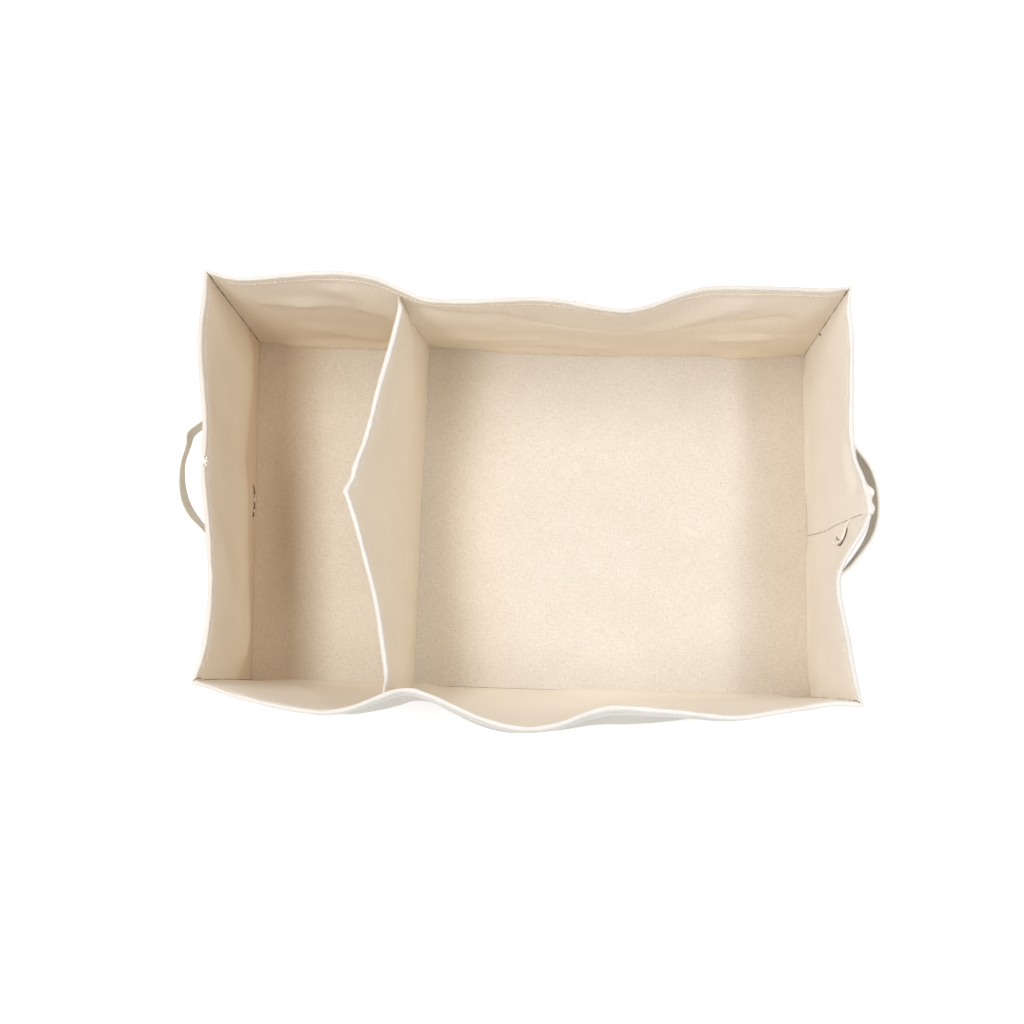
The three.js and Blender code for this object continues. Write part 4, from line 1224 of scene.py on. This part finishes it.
# Heights of the stretches of the right end's seam where its stitches show
SEAM_SHOWS = [(5, 34), (37, 66), (70, 78), (81, 124), (127, 150), (154, 184)]
rows = []
for foot, head in SEAM_SHOWS:
    up = np.linspace(foot, head, 60) * MM
    spot = drifted("right", np.full(60, END_SEAM), up)
    way = sewn_row("right", np.linspace(spot[0], spot[-1], 60), up, WALL_THICK)[1]
    rows.append((on_lining("right", spot, up, LINING / 2 - 0.1 * MM), way))
sew("end_seam_stitching", rows, seam_thread, 0.75)

# The floor seam at the left end gapes in three places, and the shadow in each gap is painted as a dark wedge
# of thread on the lining, listed as (along, up)
SLIT_SHADOWS = [
    [(170, 21), (165, 20.5), (160, 20), (157.5, 20)],
    [(156.5, 20), (151, 19.5), (147, 20)],
    [(146, 18.5), (143.5, 18), (141, 18.5)],
]
strands = [(on_lining_at("left", slit, 0.15), np.linspace(0.5, 1.35, len(slit))) for slit in SLIT_SHADOWS]
lay_thread("floor_seam_gap_shadows", strands, seam_thread)

# Loose ends. Cut ends of natural thread stick out where rows of stitches stop: in the floor seam at the
# left end, on the left rim, and a long curled one beside the seam of the right end, with dark brown thread
# laid along it as its painted shadow.
strands = [
    (on_lining_at("left", [(161.5, 16), (157.3, 20), (153.5, 22.5)], 0.8), np.full(3, 0.45)),
    (on_lining_at("left", [(154.5, 14.5), (157.3, 19.5), (160.5, 24.5)], 1.2), np.full(3, 0.45)),
    (on_lining_at("left", [(149.5, 18), (147, 21), (145, 23.5)], 0.8), np.full(3, 0.42)),
]
lay_thread("seam_thread_ends", strands, natural_thread)
curl = [(163.4, 154), (166.7, 152.6), (170, 147.7), (174.7, 147.5), (179, 144.5), (180.6, 134.3),
        (178.8, 121.5), (176.4, 121.1)]
strands = [(on_lining_at("right", curl, 1.3), np.array([0.3, 0.45, 0.7, 0.9, 1.1, 1.1, 1.1, 0.8]))]
# On the left rim: (along, up, depth) of three crossed ends, in millimetres
for ends in (
    [(156.5, 200.2, 4.8), (160.2, 201.3, 3.0), (164.5, 200.9, 0.2)],
    [(164.8, 199.7, 5.0), (160.4, 201.5, 3.2), (156.3, 201, 0.4)],
    [(160.9, 199, 6.0), (160.4, 201.4, 3.0), (160, 201, -0.6)],
):
    s, z, depth = np.array(ends).T
    strands.append((on_wall("left", s * MM / BIN_WIDTH, z * MM, depth * MM), np.full(3, 0.5)))
pale_thread = thread("pale_thread", (0.90, 0.85, 0.74), (0.98, 0.95, 0.88))
lay_thread("loose_thread_ends", strands, pale_thread)
# Dark brown strands along the curl: painted shadow of the curled thread
bow = [(170.1, 151.6), (175.2, 152.2), (180.1, 150.4), (183.2, 143.3), (182.2, 133)]
hook = [(177, 140), (178, 132), (176.4, 124), (173.8, 122)]
strands = [(on_lining_at("right", bow, 0.8), np.array([0.3, 0.42, 0.42, 0.42, 0.3])),
           (on_lining_at("right", hook, 0.4), np.array([0.25, 0.35, 0.35, 0.3]))]
lay_thread("curl_painted_shadow", strands, seam_thread)

# Table and light. A plain pale table under the bin, a long soft lamp high up on either side and a pale
# room. The table and the room show white to the camera, and the table keeps the bin's shadow.
bpy.ops.object.select_all(action="DESELECT")
bpy.ops.mesh.primitive_plane_add(size=30, location=(0, 0, 0))
table = bpy.context.object
table.name = "table"
surface = bpy.data.materials.new("pale_table")
surface.use_nodes = True
coat(table, surface)
tree = surface.node_tree
paint = tree.nodes["Principled BSDF"]
paint.inputs["Base Color"].default_value = (0.82, 0.82, 0.82, 1)
paint.inputs["Roughness"].default_value = 0.9
paint.inputs["Emission Color"].default_value = (1, 1, 1, 1)
TABLE_GLOW = 0.3


def seen_directly(tree, base, extra):
    """base where a surface only lights others, and extra more where it is looked at or mirrored."""
    rays = tree.nodes.new("ShaderNodeLightPath")
    looked_at = rays.outputs["Is Camera Ray"]
    for kind in ("Is Glossy Ray", "Is Transmission Ray"):
        either = tree.nodes.new("ShaderNodeMath")
        either.operation = "MAXIMUM"
        tree.links.new(looked_at, either.inputs[0])
        tree.links.new(rays.outputs[kind], either.inputs[1])
        looked_at = either.outputs[0]
    total = tree.nodes.new("ShaderNodeMath")
    total.operation = "MULTIPLY_ADD"
    total.inputs[1].default_value = extra
    total.inputs[2].default_value = base
    tree.links.new(looked_at, total.inputs[0])
    return total.outputs[0]


tree.links.new(seen_directly(tree, 0.0, TABLE_GLOW), paint.inputs["Emission Strength"])

for name, x, wide, power in (("left_softbox", -0.67, 0.34, 28.2), ("right_softbox", 0.78, 0.16, 12.5)):
    bpy.ops.object.light_add(type="AREA", location=(x, 0.05, 2.0))
    lamp = bpy.context.object
    lamp.name = name
    lamp.data.shape = "RECTANGLE"
    lamp.data.size = wide
    lamp.data.size_y = 1.6
    lamp.data.energy = power

ROOM_LIGHT = 0.65
world = bpy.data.worlds.new("pale_room")
bpy.context.scene.world = world
world.use_nodes = True
backdrop = world.node_tree.nodes["Background"]
backdrop.inputs["Color"].default_value = (1, 1, 1, 1)
strength = seen_directly(world.node_tree, ROOM_LIGHT, 1 - ROOM_LIGHT)
world.node_tree.links.new(strength, backdrop.inputs["Strength"])

bpy.context.scene.view_settings.view_transform = "Standard"
bpy.context.view_layer.update()
